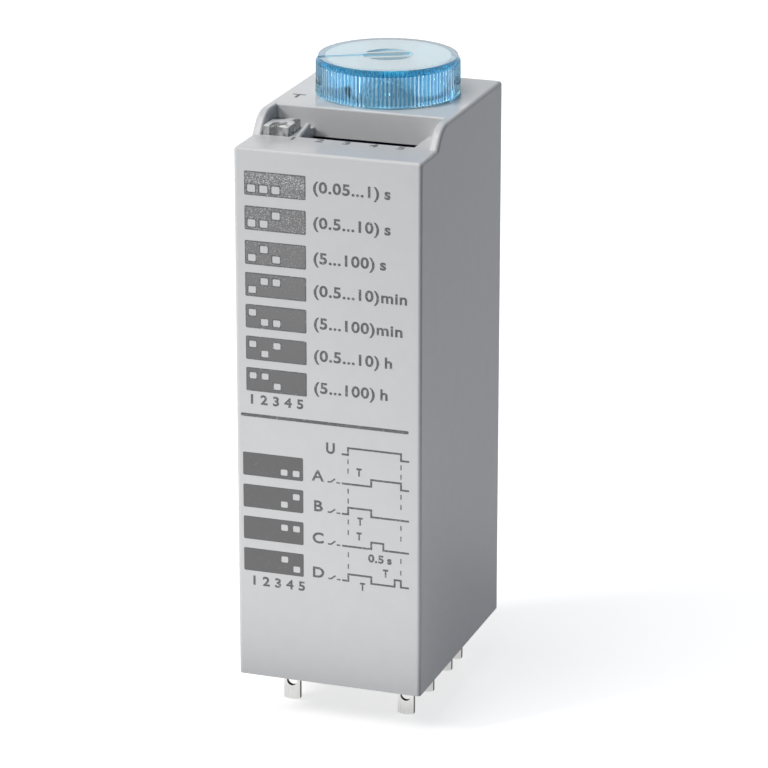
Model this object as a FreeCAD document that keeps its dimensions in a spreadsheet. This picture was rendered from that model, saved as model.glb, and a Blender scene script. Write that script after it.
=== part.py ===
"""Plug-in miniature timer relay with a four-pole contact set.

The origin is on the floor under the middle of the case, at the blades' tips.
+X is to the right, +Y to the back and +Z up, in millimetres.
"""
import FreeCAD, Part
import math
import os
import re
import Sketcher

# Driving sizes, in millimetres unless a comment says otherwise
SIZES = {
    # Case
    "case_width": 20.7,
    "case_depth": 27.5,
    "case_height": 61.35,
    "wall": 1.0,
    "edge_radius": 0.4,
    "fit_gap": 0.1,
    # Lip and ramps in front of the raised top, measured back from the front face
    "lip_drop": 2.25,
    "ramp_angle": 51,
    "ramp_radius": 3.0,
    "ramp_top": 8.6,
    "recess_back": 10.3,
    "recess_wall": 1.05,
    "recess_radius": 0.25,
    # Window over the slide switch, and the shelf to its right
    "window_front": 5.85,
    "shelf_width": 1.7,
    # Rib between the lamp and the window
    "partition": 1.1,
    "rib_width": 0.6,
    "rib_rise": 0.75,
    "rib_toe": 0.05,
    "rib_height": 0.9,
    "rib_end_bevel": 0.2,
    # Snap that holds the base in the cover
    "snap_length": 6.0,
    "snap_rise": 1.7,
    "snap_height": 1.0,
    "snap_depth": 0.3,
    # Posts inside the cover that stop the control board
    "post_side": 1.2,
    # Lamp
    "led_width": 2.9,
    "led_depth": 3.8,
    "led_front": 5.7,
    "led_rise": 1.0,
    "led_gap": 0.1,
    "led_radius": 0.15,
    "led_lead": 0.5,
    "led_pitch": 1.4,
    "led_cup": 1.0,
    "led_cup_height": 0.9,
    "led_cover": 1.1,
    # Slide switch
    "dip_gap": 0.6,
    "dip_height": 4.2,
    "dip_depth": 5.8,
    "dip_margin": 0.95,
    "slot_width": 1.5,
    "slot_length": 3.8,
    "slot_depth": 1.2,
    "slider_length": 1.7,
    "slider_gap": 0.08,
    "thumb_length": 0.8,
    "thumb_width": 1.0,
    "thumb_rise": 0.55,
    # Knob, measured from the case's middle and back face
    "knob_side": 0.3,
    "knob_back": 8.9,
    "knob_gap": 0.2,
    "knob_height": 3.95,
    "knob_radius": 7.8,
    "knob_draft": 0.05,
    "knob_wall": 1.0,
    "knob_plate": 0.85,
    "knob_chamfer": 0.28,
    "knob_chamfer_height": 0.6,
    "serration_depth": 0.25,
    "serration_width": 0.4,
    "stem_radius": 2.6,
    "stem_gap": 0.3,
    "pointer_angle": 208.7,
    "pointer_width": 1.2,
    "pointer_depth": 0.12,
    "driver_slot": 1.5,
    "driver_depth": 0.35,
    "crescent_inset": 1.35,
    "crescent_depth": 0.3,
    # Potentiometer under the knob
    "pot_side": 9.6,
    "pot_height": 4.4,
    "pot_boss_radius": 3.6,
    "pot_boss_height": 0.4,
    "rotor_radius": 3.0,
    "rotor_disc": 0.5,
    "rotor_gap": 0.1,
    "key_length": 3.0,
    "key_width": 1.6,
    "key_height": 2.6,
    "key_gap": 0.05,
    # Blades, with their rows measured back from the front face
    "blade_length": 5.1,
    "blade_width": 1.86,
    "blade_thickness": 0.5,
    "blade_end_radius": 2.5,
    "blade_hole_radius": 0.6,
    "blade_hole_rise": 2.2,
    "blade_slot_gap": 0.05,
    "column_pitch": 4.4,
    "supply_row": 6.5,
    "common_row": 13.2,
    "open_row": 19.6,
    "closed_row": 23.2,
    "common_tail": 3.9,
    # Base
    "base_thickness": 3.5,
    "barrier_thickness": 0.8,
    "barrier_height": 6.0,
    "barrier_lead": 1.0,
    # Electromagnet
    "yoke_thickness": 1.2,
    "yoke_width": 8.4,
    "flange_radius": 4.2,
    "flange_thickness": 0.8,
    "flange_gap": 0.85,
    "bobbin_height": 13.6,
    "bobbin_radius": 2.8,
    "winding_radius": 4.1,
    "core_radius": 2.0,
    "core_neck": 1.4,
    "core_gap": 0.05,
    "pole_width": 7.2,
    "pole_front": 2.8,
    "lead_radius": 0.3,
    "lead_side": 1.8,
    "lead_front": 3.5,
    # Clapper
    "armature_thickness": 1.2,
    "armature_width": 8.4,
    "armature_neck": 6.4,
    "armature_gap": 0.6,
    "armature_lift": 0.1,
    "armature_overhang": 1.2,
    "swing_gap": 0.05,
    "leaf_thickness": 0.2,
    "leaf_width": 4.0,
    "leaf_rise": 6.0,
    "leaf_foot": 2.6,
    "carrier_gap": 0.75,
    "carrier_web": 1.6,
    "carrier_drop": 6.0,
    "carrier_overhang": 1.2,
    "carrier_lug": 1.5,
    "carrier_lug_side": 2.0,
    "carrier_lug_drop": 3.0,
    "arm_thickness": 2.0,
    "arm_headroom": 5.8,
    "arm_clearance": 0.7,
    # Contacts
    "contact_inset": 1.4,
    "contact_rest": 0.05,
    "contact_width": 1.6,
    "contact_rise": 1.2,
    "contact_height": 0.45,
    "spring_thickness": 0.25,
    "spring_width": 2.2,
    "spring_tail": 1.5,
    "spring_stub": 1.2,
    "braid_width": 1.4,
    "braid_thickness": 0.4,
    "braid_bend": 1.2,
    "braid_rise": 0.7,
    "braid_back": 15.95,
    "braid_tail": 1.1,
    "braid_slot_gap": 0.5,
    # Boards and what they carry, measured from the front face and the cover's side walls
    "board_thickness": 1.6,
    "board_gap": 13.4,
    "board_edge_gap": 0.15,
    "pin_side": 0.6,
    "pin_pitch": 2.54,
    "pin_inset": 1.0,
    "pin_stub": 0.6,
    "pin_hole_gap": 0.05,
    "part_headroom": 2.2,
    "capacitor_radius": 4.0,
    "capacitor_side": 4.75,
    "capacitor_back": 6.2,
    "capacitor_groove": 0.35,
    "capacitor_groove_rise": 1.6,
    "film_width": 12.0,
    "film_depth": 5.0,
    "film_back": 19.3,
    "film_radius": 0.6,
    "bridge_width": 5.0,
    "bridge_depth": 6.5,
    "bridge_height": 2.6,
    "bridge_side": 4.35,
    "bridge_back": 6.2,
    "bridge_bevel": 0.5,
    "transistor_radius": 2.3,
    "transistor_flat": 1.2,
    "transistor_height": 4.6,
    "transistor_side": 3.85,
    "transistor_back": 12.4,
    "chip_width": 5.0,
    "chip_depth": 6.2,
    "chip_height": 1.6,
    "chip_side": 3.0,
    "chip_back": 15.8,
    "chip_bevel": 0.3,
}

SLIDER_COUNT = 5
SERRATION_COUNT = 104
PIN_COUNT = 5
COLUMNS = (-1.5, -0.5, 0.5, 1.5)
OUTER_COLUMNS = (-1.5, 1.5)
LEFT_TURN, RIGHT_TURN = 1, -1
THROUGH = "2"  # how far a cut runs past the face that it opens

# Heights, from the floor up
FLOOR = "blade_length"
TOP = "(blade_length + case_height)"
LIP = f"({TOP} - lip_drop)"
LIP_UNDER = f"({LIP} - wall)"
ROOF = f"({TOP} - wall)"
BASE_TOP = f"({FLOOR} + base_thickness)"
SNAP = f"({FLOOR} + snap_rise)"
DIP_TOP = f"({LIP_UNDER} - dip_gap)"
CONTROL_TOP = f"({DIP_TOP} - dip_height)"
CONTROL_UNDER = f"({CONTROL_TOP} - board_thickness)"
POWER_TOP = f"({CONTROL_UNDER} - board_gap)"
POWER_UNDER = f"({POWER_TOP} - board_thickness)"
POST_END = f"({CONTROL_TOP} + fit_gap)"
KNOB_BASE = f"({TOP} + knob_gap)"
POT_TOP = f"({CONTROL_TOP} + pot_height)"
ROTOR_BASE = f"({POT_TOP} + pot_boss_height + rotor_gap)"
ROTOR_TOP = f"({ROTOR_BASE} + rotor_disc)"
STEM_END = f"({ROTOR_TOP} + fit_gap)"
YOKE_TOP = f"({BASE_TOP} + yoke_thickness)"
PIVOT_HEIGHT = f"({BASE_TOP} + yoke_thickness / 2)"
BOBBIN_BASE = f"({YOKE_TOP} + leaf_thickness)"
BOBBIN_TOP = f"({BOBBIN_BASE} + bobbin_height)"
POLE_TOP = f"({BOBBIN_TOP} + yoke_thickness)"
ARM_TOP = f"({POWER_UNDER} - arm_headroom)"
ARM_UNDER = f"({ARM_TOP} - arm_thickness)"
STRIP_TOP = f"({ARM_UNDER} - arm_clearance)"
CONTACT_HEIGHT = f"({STRIP_TOP} - contact_inset)"
BRAID_HEIGHT = f"({ARM_TOP} + braid_rise)"
COMMON_TOP = f"({BASE_TOP} + common_tail)"

# Places across the case, left to right
INNER = "(case_width / 2 - wall)"
RECESS = "(case_width / 2 - recess_wall)"
LED_LEFT = f"(led_gap - {RECESS})"
LED_RIGHT = f"({LED_LEFT} + led_width)"
WINDOW_LEFT = f"({LED_RIGHT} + led_gap + partition)"
WINDOW_RIGHT = f"({RECESS} - shelf_width)"
SLIDER_PITCH = f"(({WINDOW_RIGHT} - {WINDOW_LEFT}) / {SLIDER_COUNT})"

# Places along the case, front to back
FRONT = "(0 - case_depth / 2)"
BACK = "(case_depth / 2)"
INNER_FRONT = f"({FRONT} + wall)"
INNER_BACK = f"({BACK} - wall)"
RAMP_START = f"({FRONT} + ramp_top - ramp_radius * sin(ramp_angle))"
RAMP_START_HEIGHT = f"({TOP} - ramp_radius * (1 - cos(ramp_angle)))"
FOOT = f"({RAMP_START} - ({RAMP_START_HEIGHT} - {LIP}) / tan(ramp_angle))"
RECESS_BACK = f"({FRONT} + recess_back)"
WINDOW_FRONT = f"({FRONT} + window_front)"
WINDOW_MIDDLE = f"(({WINDOW_FRONT} + {RECESS_BACK}) / 2)"
LED_FRONT = f"({FRONT} + led_front)"
LED_BACK = f"({LED_FRONT} + led_depth)"
KNOB_PLACE = f"({BACK} - knob_back)"
SUPPLY_ROW = f"({FRONT} + supply_row)"
COMMON_ROW = f"({FRONT} + common_row)"
OPEN_ROW = f"({FRONT} + open_row)"
CLOSED_ROW = f"({FRONT} + closed_row)"
PIN_ROW = f"({INNER_BACK} - pin_inset)"
COIL_PLACE = f"({INNER_FRONT} + flange_gap + flange_radius)"
ARMATURE_BACK = f"({COMMON_ROW} - blade_thickness / 2 - armature_gap)"
ARMATURE_FRONT = f"({ARMATURE_BACK} - armature_thickness)"
WEB_BACK = f"({ARMATURE_BACK} + carrier_web)"
SPRING_BACK = f"({CLOSED_ROW} - blade_thickness / 2 - 2 * contact_height - contact_rest)"
SPRING_FRONT = f"({SPRING_BACK} - spring_thickness)"
CONTACT_TRAVEL = (
    f"({SPRING_FRONT} - {OPEN_ROW} - blade_thickness / 2 - 2 * contact_height - contact_rest)"
)
SWING = f"({CONTACT_TRAVEL} / ({CONTACT_HEIGHT} - {PIVOT_HEIGHT}))"
POLE_FACE = f"({ARMATURE_FRONT} - {SWING} * ({POLE_TOP} - {PIVOT_HEIGHT}) - swing_gap)"
BRAID_PLACE = f"({FRONT} + braid_back)"

doc = FreeCAD.newDocument("timer_relay")
sheet = doc.addObject("Spreadsheet::Sheet", "sizes")
for row, (alias, size) in enumerate(SIZES.items(), 1):
    sheet.set(f"A{row}", alias)
    sheet.set(f"B{row}", str(size))
    sheet.setAlias(f"B{row}", alias)
doc.recompute()

pieces = []


def formula(text):
    """A formula with each size's name pointed at its cell in the sheet."""
    def cell(match):
        word = match.group(0)
        return f"sizes.{word}" if word in SIZES else word
    return re.sub(r"[a-z_]+", cell, text)


def number(text):
    """The value that a formula has now."""
    return float(sheet.evalExpression(formula(text)))


def bind(thing, setting, text):
    thing.setExpression(setting, formula(text))


def place(thing, x="0", y="0", z="0"):
    bind(thing, "Placement.Base.x", x)
    bind(thing, "Placement.Base.y", y)
    bind(thing, "Placement.Base.z", z)


def keep(thing, label):
    """Make thing a sub-part of its own, under the name label."""
    thing.Label = label
    pieces.append(thing)
    return thing


def column(step):
    """How far a column of blades stands from the middle, as a formula."""
    return f"({step} * column_pitch)"


# Sketches and features

def new_body(name, x="0", y="0", z="0"):
    body = doc.addObject("PartDesign::Body", name)
    place(body, x, y, z)
    return body


def new_sketch(body, plane, offset="0"):
    """A sketch on one of the body's own planes, moved along the plane's normal."""
    sketch = body.newObject("Sketcher::SketchObject", f"{body.Name}_{plane[:2].lower()}")
    support = [item for item in body.Origin.OriginFeatures if item.Role == plane][0]
    sketch.AttachmentSupport = [(support, "")]
    sketch.MapMode = "FlatFace"
    bind(sketch, "AttachmentOffset.Base.z", offset)
    return sketch


def hold(sketch, kind, *targets, text):
    """Add a dimension whose value follows a formula."""
    index = sketch.addConstraint(Sketcher.Constraint(kind, *targets, number(text)))
    bind(sketch, f"Constraints[{index}]", text)


def pin(sketch, side, end, spot):
    hold(sketch, "DistanceX", side, end, text=spot[0])
    hold(sketch, "DistanceY", side, end, text=spot[1])


def arc_between(start, end, radius, turn):
    """The shorter arc from start to end that turns left or right."""
    chord = end - start
    left = FreeCAD.Vector(-chord.y, chord.x, 0).normalize()
    rise = math.sqrt(radius ** 2 - (chord.Length / 2) ** 2)
    centre = (start + end) * 0.5 + left * (rise * turn)
    first, last = (start, end) if turn == LEFT_TURN else (end, start)
    angles = [math.atan2(spot.y - centre.y, spot.x - centre.x) for spot in (first, last)]
    return Part.ArcOfCircle(Part.Circle(centre, FreeCAD.Vector(0, 0, 1), radius), *angles)


def outline(sketch, corners, arcs=None, closed=True):
    """Sides from corner to corner; arcs gives a side's radius and turn by its index."""
    arcs = arcs or {}
    spots = [FreeCAD.Vector(number(u), number(v), 0) for u, v in corners]
    base = sketch.GeometryCount
    sides = len(spots) if closed else len(spots) - 1
    ends = []
    for side in range(sides):
        start, end = spots[side], spots[(side + 1) % len(spots)]
        if side in arcs:
            radius, turn = arcs[side]
            sketch.addGeometry(arc_between(start, end, number(radius), turn))
            ends.append((1, 2) if turn == LEFT_TURN else (2, 1))
        else:
            sketch.addGeometry(Part.LineSegment(start, end))
            ends.append((1, 2))
    for side in range(sides):
        follower = (side + 1) % sides
        if closed or follower:
            sketch.addConstraint(Sketcher.Constraint(
                "Coincident", base + side, ends[side][1], base + follower, ends[follower][0]))
        else:
            pin(sketch, base + side, ends[side][1], corners[-1])
        pin(sketch, base + side, ends[side][0], corners[side])
        if side in arcs:
            hold(sketch, "Radius", base + side, text=arcs[side][0])


def rectangle(sketch, left, low, right, high):
    outline(sketch, [(left, low), (right, low), (right, high), (left, high)])


def circle(sketch, u, v, radius):
    centre = FreeCAD.Vector(number(u), number(v), 0)
    side = sketch.addGeometry(Part.Circle(centre, FreeCAD.Vector(0, 0, 1), number(radius)))
    pin(sketch, side, 3, (u, v))
    hold(sketch, "Radius", side, text=radius)


def add_feature(body, kind, sketch, length, both=False, turned=False):
    feature = body.newObject(f"PartDesign::{kind}", f"{body.Name}_{kind.lower()}")
    feature.Profile = sketch
    feature.SideType = "Symmetric" if both else "One side"
    feature.Reversed = turned
    bind(feature, "Length", length)
    return feature


def pad(body, sketch, length, **sides):
    return add_feature(body, "Pad", sketch, length, **sides)


def pocket(body, sketch, length, **sides):
    return add_feature(body, "Pocket", sketch, length, **sides)


def spin(body, sketch, axis="V_Axis"):
    feature = body.newObject("PartDesign::Revolution", f"{body.Name}_spin")
    feature.Profile = sketch
    feature.ReferenceAxis = (sketch, [axis])
    feature.Angle = 360
    return feature


def round_edges(body, radius, wanted, kind="Fillet"):
    """Fillet or chamfer those edges of the body that wanted() picks."""
    doc.recompute()
    base = body.Tip
    names = [f"Edge{i}" for i, edge in enumerate(base.Shape.Edges, 1) if wanted(edge)]
    feature = body.newObject(f"PartDesign::{kind}", f"{body.Name}_{kind.lower()}")
    feature.Base = (base, names)
    bind(feature, "Radius" if kind == "Fillet" else "Size", radius)
    return feature


def near(first, second):
    return abs(first - second) < 1e-4


def upright(edge):
    box = edge.BoundBox
    return box.ZLength > 1e-4 and box.XLength < 1e-4 and box.YLength < 1e-4


# Case

def make_case_cover():
    """Moulded shell: a ramped side outline, hollowed from below, with a recess on top."""
    body = new_body("case_cover")
    side = new_sketch(body, "YZ_Plane")
    outline(side, [
        (FRONT, FLOOR), (FRONT, LIP), (FOOT, LIP), (RAMP_START, RAMP_START_HEIGHT),
        (f"({FRONT} + ramp_top)", TOP), (BACK, TOP), (BACK, FLOOR)],
        arcs={3: ("ramp_radius", RIGHT_TURN)})
    pad(body, side, "case_width", both=True)
    floor = number(FLOOR)
    round_edges(body, "edge_radius", lambda edge: edge.BoundBox.ZMax > floor + 1e-4 and (
        near(abs(edge.BoundBox.Center.x), number("case_width / 2")) or front_or_back(edge)))
    cut_recess(body)
    cut_cavity(body)
    cut_windows(body)
    add_rib(body)
    cut_snaps(body)
    add_posts(body)
    return keep(body, "case_cover")


def front_or_back(edge):
    """Whether an edge runs across the case at the lip's front or the top's back."""
    box = edge.BoundBox
    at_lip = near(box.YMax, number(FRONT)) and near(box.ZMin, number(LIP))
    at_top = near(box.YMin, number(BACK)) and near(box.ZMin, number(TOP))
    return at_lip or at_top


def cut_recess(body):
    recess = new_sketch(body, "XY_Plane", f"{TOP} + {THROUGH}")
    rectangle(recess, f"0 - {RECESS}", FOOT, RECESS, RECESS_BACK)
    pocket(body, recess, f"{TOP} + {THROUGH} - {LIP}")
    back, top, lip = number(RECESS_BACK), number(TOP), number(LIP)
    half = number(RECESS)

    def rim(edge):
        box = edge.BoundBox
        on_back = near(box.YMin, back) and near(box.YMax, back) and near(box.ZMin, top)
        on_wall = near(abs(box.Center.x), half) and box.YLength > 1e-4
        return on_back or (on_wall and box.ZMax > lip + 1e-4)
    round_edges(body, "recess_radius", rim)


def cut_cavity(body):
    step = f"({RECESS_BACK} + wall)"
    below = f"({FLOOR} - {THROUGH})"
    hollow = new_sketch(body, "YZ_Plane")
    outline(hollow, [
        (INNER_FRONT, below), (INNER_FRONT, LIP_UNDER), (step, LIP_UNDER), (step, ROOF),
        (INNER_BACK, ROOF), (INNER_BACK, below)])
    pocket(body, hollow, f"2 * {INNER}", both=True)


def cut_windows(body):
    """Openings for the slide switch, the lamp and the knob's stem."""
    lip_holes = new_sketch(body, "XY_Plane", LIP)
    rectangle(lip_holes, WINDOW_LEFT, WINDOW_FRONT, WINDOW_RIGHT, RECESS_BACK)
    rectangle(lip_holes, f"{LED_LEFT} - led_gap", f"{LED_FRONT} - led_gap",
              f"{LED_RIGHT} + led_gap", f"{LED_BACK} + led_gap")
    pocket(body, lip_holes, "wall")
    stem_hole = new_sketch(body, "XY_Plane", TOP)
    circle(stem_hole, "knob_side", KNOB_PLACE, "stem_radius + stem_gap")
    pocket(body, stem_hole, "wall")


def add_rib(body):
    """Round-topped rib between the lamp and the window that climbs to a bevelled end at the back."""
    half = "(rib_width / 2)"
    middle = f"({WINDOW_LEFT} - {half})"
    high = f"({LIP} + rib_rise)"
    end = f"({LED_BACK} - led_gap)"
    left, right = f"({middle} - {half})", f"({middle} + {half})"
    low, spring = f"({high} - rib_height)", f"({high} - {half})"
    route = new_sketch(body, "YZ_Plane", middle)
    outline(route, [(end, high), (LED_FRONT, f"{LIP} + rib_toe")], closed=False)
    section = new_sketch(body, "XZ_Plane", f"0 - {end}")
    outline(section, [
        (left, low), (right, low), (right, spring), (middle, high), (left, spring)],
        arcs={2: (half, LEFT_TURN), 3: (half, LEFT_TURN)})
    rib = body.newObject("PartDesign::AdditivePipe", "case_cover_rib")
    rib.Profile = section
    rib.Spine = route
    back, crown, lip = number(end), number(high), number(LIP)

    def rim(edge):
        box = edge.BoundBox
        on_end = near(box.YMin, back) and near(box.YMax, back)
        return on_end and near(box.ZMax, crown) and box.ZMin > lip
    round_edges(body, "rib_end_bevel", rim, "Chamfer")


def cut_snaps(body):
    snaps = new_sketch(body, "YZ_Plane")
    rectangle(snaps, "0 - snap_length / 2 - fit_gap", SNAP,
              "snap_length / 2 + fit_gap", f"{SNAP} + snap_height")
    pocket(body, snaps, f"2 * ({INNER} + snap_depth)", both=True)


def add_posts(body):
    """Corner posts that hang from the lip and the roof down to the control board."""
    for start, end, ceiling in (
            (INNER_FRONT, f"{INNER_FRONT} + post_side", LIP_UNDER),
            (f"{INNER_BACK} - post_side", INNER_BACK, ROOF)):
        posts = new_sketch(body, "XY_Plane", POST_END)
        rectangle(posts, f"0 - {INNER}", start, f"post_side - {INNER}", end)
        rectangle(posts, f"{INNER} - post_side", start, INNER, end)
        pad(body, posts, f"{ceiling} - {POST_END}")


def make_terminal_base():
    """Moulded block with a slot for each blade, barriers between poles and snap ridges."""
    body = new_body("terminal_base")
    half = f"({INNER} - fit_gap)"
    back = f"({INNER_BACK} - fit_gap)"
    plan = new_sketch(body, "XY_Plane", FLOOR)
    rectangle(plan, f"0 - {half}", f"{INNER_FRONT} + fit_gap", half, back)
    pad(body, plan, "base_thickness")
    barriers = new_sketch(body, "XY_Plane", BASE_TOP)
    for step in (-1, 0, 1):
        rectangle(barriers, f"{column(step)} - barrier_thickness / 2",
                  f"{OPEN_ROW} - barrier_lead",
                  f"{column(step)} + barrier_thickness / 2", back)
    pad(body, barriers, "barrier_height")
    ridges = new_sketch(body, "XZ_Plane")
    reach = f"({half} + snap_depth)"
    middle = f"({SNAP} + snap_height / 2)"
    for sign in ("1", "-1"):
        outline(ridges, [
            (f"{sign} * {half}", f"{SNAP} + fit_gap"), (f"{sign} * {reach}", middle),
            (f"{sign} * {half}", f"{SNAP} + snap_height - fit_gap")])
    pad(body, ridges, "snap_length", both=True)
    slots = new_sketch(body, "XY_Plane", BASE_TOP)
    wide = "(blade_width / 2 + blade_slot_gap)"
    deep = "(blade_thickness / 2 + blade_slot_gap)"
    for blade_row, steps in ((SUPPLY_ROW, OUTER_COLUMNS), (COMMON_ROW, COLUMNS),
                             (OPEN_ROW, COLUMNS), (CLOSED_ROW, COLUMNS)):
        for step in steps:
            rectangle(slots, f"{column(step)} - {wide}", f"{blade_row} - {deep}",
                      f"{column(step)} + {wide}", f"{blade_row} + {deep}")
    pocket(body, slots, "base_thickness")
    return keep(body, "terminal_base")


def make_blade(label, step, blade_row, top):
    """Flat tinned strip with a rounded tip and a round eye."""
    body = new_body(label, column(step), blade_row)
    half = "(blade_width / 2)"
    shoulder = f"(blade_end_radius - sqrt(blade_end_radius ^ 2 - {half} ^ 2))"
    face = new_sketch(body, "XZ_Plane")
    outline(face, [
        (f"0 - {half}", shoulder), (half, shoulder), (half, top), (f"0 - {half}", top)],
        arcs={0: ("blade_end_radius", LEFT_TURN)})
    pad(body, face, "blade_thickness", both=True)
    eye = new_sketch(body, "XZ_Plane")
    circle(eye, "0", "blade_hole_rise", "blade_hole_radius")
    pocket(body, eye, f"blade_thickness + {THROUGH}", both=True)
    return keep(body, label)


def make_blades():
    for index, step in enumerate(OUTER_COLUMNS, 1):
        make_blade(f"supply_blade_{index}", step, SUPPLY_ROW, POWER_UNDER)
    for index, step in enumerate(COLUMNS, 1):
        make_blade(f"common_blade_{index}", step, COMMON_ROW, COMMON_TOP)
        make_blade(f"open_blade_{index}", step, OPEN_ROW, STRIP_TOP)
        make_blade(f"closed_blade_{index}", step, CLOSED_ROW, STRIP_TOP)


# Electromagnet

def make_turned(label, profile, y=COIL_PLACE, x="0"):
    """A piece turned about an upright axis from half of its section."""
    body = new_body(label, x, y)
    section = new_sketch(body, "XZ_Plane")
    outline(section, profile)
    spin(body, section)
    return keep(body, label)


def make_coil():
    bore = "core_radius + core_gap"
    low_flange = f"{BOBBIN_BASE} + flange_thickness"
    high_flange = f"{BOBBIN_TOP} - flange_thickness"
    make_turned("coil_bobbin", [
        (bore, BOBBIN_BASE), ("flange_radius", BOBBIN_BASE), ("flange_radius", low_flange),
        ("bobbin_radius", low_flange), ("bobbin_radius", high_flange),
        ("flange_radius", high_flange), ("flange_radius", BOBBIN_TOP), (bore, BOBBIN_TOP)])
    make_turned("coil_winding", [
        ("bobbin_radius", low_flange), ("winding_radius", low_flange),
        ("winding_radius", high_flange), ("bobbin_radius", high_flange)])
    make_turned("coil_core", [
        ("0", BASE_TOP), ("core_neck", BASE_TOP), ("core_neck", YOKE_TOP),
        ("core_radius", YOKE_TOP), ("core_radius", BOBBIN_TOP), ("core_neck", BOBBIN_TOP),
        ("core_neck", POLE_TOP), ("0", POLE_TOP)])


def make_flux_plate(label, width, front, back, low):
    """Flat iron plate that the core's neck is riveted into."""
    body = new_body(label)
    plan = new_sketch(body, "XY_Plane", low)
    rectangle(plan, f"0 - {width} / 2", front, f"{width} / 2", back)
    circle(plan, "0", COIL_PLACE, "core_neck")
    pad(body, plan, "yoke_thickness")
    return keep(body, label)


def make_coil_leads():
    wires = []
    for sign in ("1", "-1"):
        wire = doc.addObject("Part::Cylinder", "coil_lead")
        bind(wire, "Radius", "lead_radius")
        bind(wire, "Height", f"{POWER_UNDER} - {BOBBIN_TOP}")
        place(wire, f"{sign} * lead_side", f"{COIL_PLACE} - lead_front", BOBBIN_TOP)
        wires.append(wire)
    return group("coil_leads", wires)


def group(label, members):
    """Like solids that share one sub-part."""
    compound = doc.addObject("Part::Compound", label)
    compound.Links = members
    return keep(compound, label)


# Clapper

def draw_lugs(sketch):
    """The two square lugs that hold the carrier to the armature."""
    half = "(carrier_lug / 2)"
    middle = f"({POLE_TOP} - carrier_lug_drop)"
    for sign in ("1", "-1"):
        side = f"({sign} * carrier_lug_side)"
        rectangle(sketch, f"{side} - {half}", f"{middle} - {half}", f"{side} + {half}", f"{middle} + {half}")


def make_armature():
    """Iron plate that rocks on the yoke's back edge, waisted above its wide foot."""
    body = new_body("armature")
    low = f"({BASE_TOP} + armature_lift)"
    high = f"({POLE_TOP} + armature_overhang)"
    waist = f"({BOBBIN_BASE} + flange_thickness)"
    shoulder = f"({waist} + (armature_width - armature_neck) / 2)"
    wide, neck = "(armature_width / 2)", "(armature_neck / 2)"
    face = new_sketch(body, "XZ_Plane", f"0 - {ARMATURE_FRONT}")
    outline(face, [
        (f"0 - {wide}", low), (wide, low), (wide, waist), (neck, shoulder), (neck, high),
        (f"0 - {neck}", high), (f"0 - {neck}", shoulder), (f"0 - {wide}", waist)])
    draw_lugs(face)
    pad(body, face, "armature_thickness", turned=True)
    return keep(body, "armature")


def make_return_spring():
    """Bent leaf: its foot is clamped under the bobbin, its tongue leans on the armature."""
    body = new_body("return_spring")
    back = f"({ARMATURE_FRONT} - swing_gap)"
    front = f"({back} - leaf_thickness)"
    tip = f"({YOKE_TOP} + leaf_rise)"
    side = new_sketch(body, "YZ_Plane")
    outline(side, [
        (f"{front} - leaf_foot", YOKE_TOP), (back, YOKE_TOP), (back, tip), (front, tip),
        (front, BOBBIN_BASE), (f"{front} - leaf_foot", BOBBIN_BASE)])
    pad(body, side, "leaf_width", both=True)
    return keep(body, "return_spring")


def make_contact_carrier():
    """Moulded bracket on the armature; its arm reaches back over the open blades."""
    body = new_body("contact_carrier")
    low = f"({POLE_TOP} - carrier_drop)"
    end = f"({SPRING_BACK} + carrier_overhang)"
    side = new_sketch(body, "YZ_Plane")
    outline(side, [
        (ARMATURE_BACK, low), (WEB_BACK, low), (WEB_BACK, ARM_UNDER), (end, ARM_UNDER),
        (end, ARM_TOP), (ARMATURE_BACK, ARM_TOP)])
    pad(body, side, f"2 * ({INNER} - carrier_gap)", both=True)
    lugs = new_sketch(body, "XZ_Plane", f"0 - {ARMATURE_BACK}")
    draw_lugs(lugs)
    pad(body, lugs, "armature_thickness")
    slots = new_sketch(body, "XY_Plane", ARM_TOP)
    braid_wide = "(braid_width / 2 + braid_slot_gap)"
    braid_deep = "(braid_thickness / 2 + braid_slot_gap)"
    for step in COLUMNS:
        rectangle(slots, f"{column(step)} - spring_width / 2", SPRING_FRONT,
                  f"{column(step)} + spring_width / 2", SPRING_BACK)
        rectangle(slots, f"{column(step)} - {braid_wide}", f"{BRAID_PLACE} - {braid_deep}",
                  f"{column(step)} + {braid_wide}", f"{BRAID_PLACE} + {braid_deep}")
    pocket(body, slots, "arm_thickness")
    return keep(body, "contact_carrier")


def make_moving_spring(index, step):
    """Leaf that hangs from the carrier's arm between an open and a closed blade."""
    label = f"moving_spring_{index}"
    body = new_body(label, column(step), SPRING_FRONT)
    half = "(spring_width / 2)"
    low = f"({CONTACT_HEIGHT} - spring_tail)"
    face = new_sketch(body, "XZ_Plane")
    outline(face, [
        (f"0 - {half}", low), (half, low), (half, f"{ARM_TOP} + spring_stub"),
        (f"0 - {half}", f"{ARM_TOP} + spring_stub")],
        arcs={0: ("spring_width", LEFT_TURN)})
    pad(body, face, "spring_thickness", turned=True)
    return keep(body, label)


def make_contact(step, face, turned):
    """Tape contact welded on a strip's face, standing off it to the back or, turned, the front."""
    body = new_body("tape_contact", column(step), face, CONTACT_HEIGHT)
    plan = new_sketch(body, "XZ_Plane")
    rectangle(plan, "0 - contact_width / 2", "0 - contact_rise / 2", "contact_width / 2",
              "contact_rise / 2")
    pad(body, plan, "contact_height", turned=not turned)
    return body


def make_contacts():
    """One contact on each open and closed blade, and two on each moving spring."""
    half = "blade_thickness / 2"
    fixed, moving = [], []
    for step in COLUMNS:
        fixed.append(make_contact(step, f"{OPEN_ROW} + {half}", turned=False))
        fixed.append(make_contact(step, f"{CLOSED_ROW} - {half}", turned=True))
        moving.append(make_contact(step, SPRING_FRONT, turned=True))
        moving.append(make_contact(step, SPRING_BACK, turned=False))
    group("fixed_contacts", fixed)
    group("moving_contacts", moving)


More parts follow.
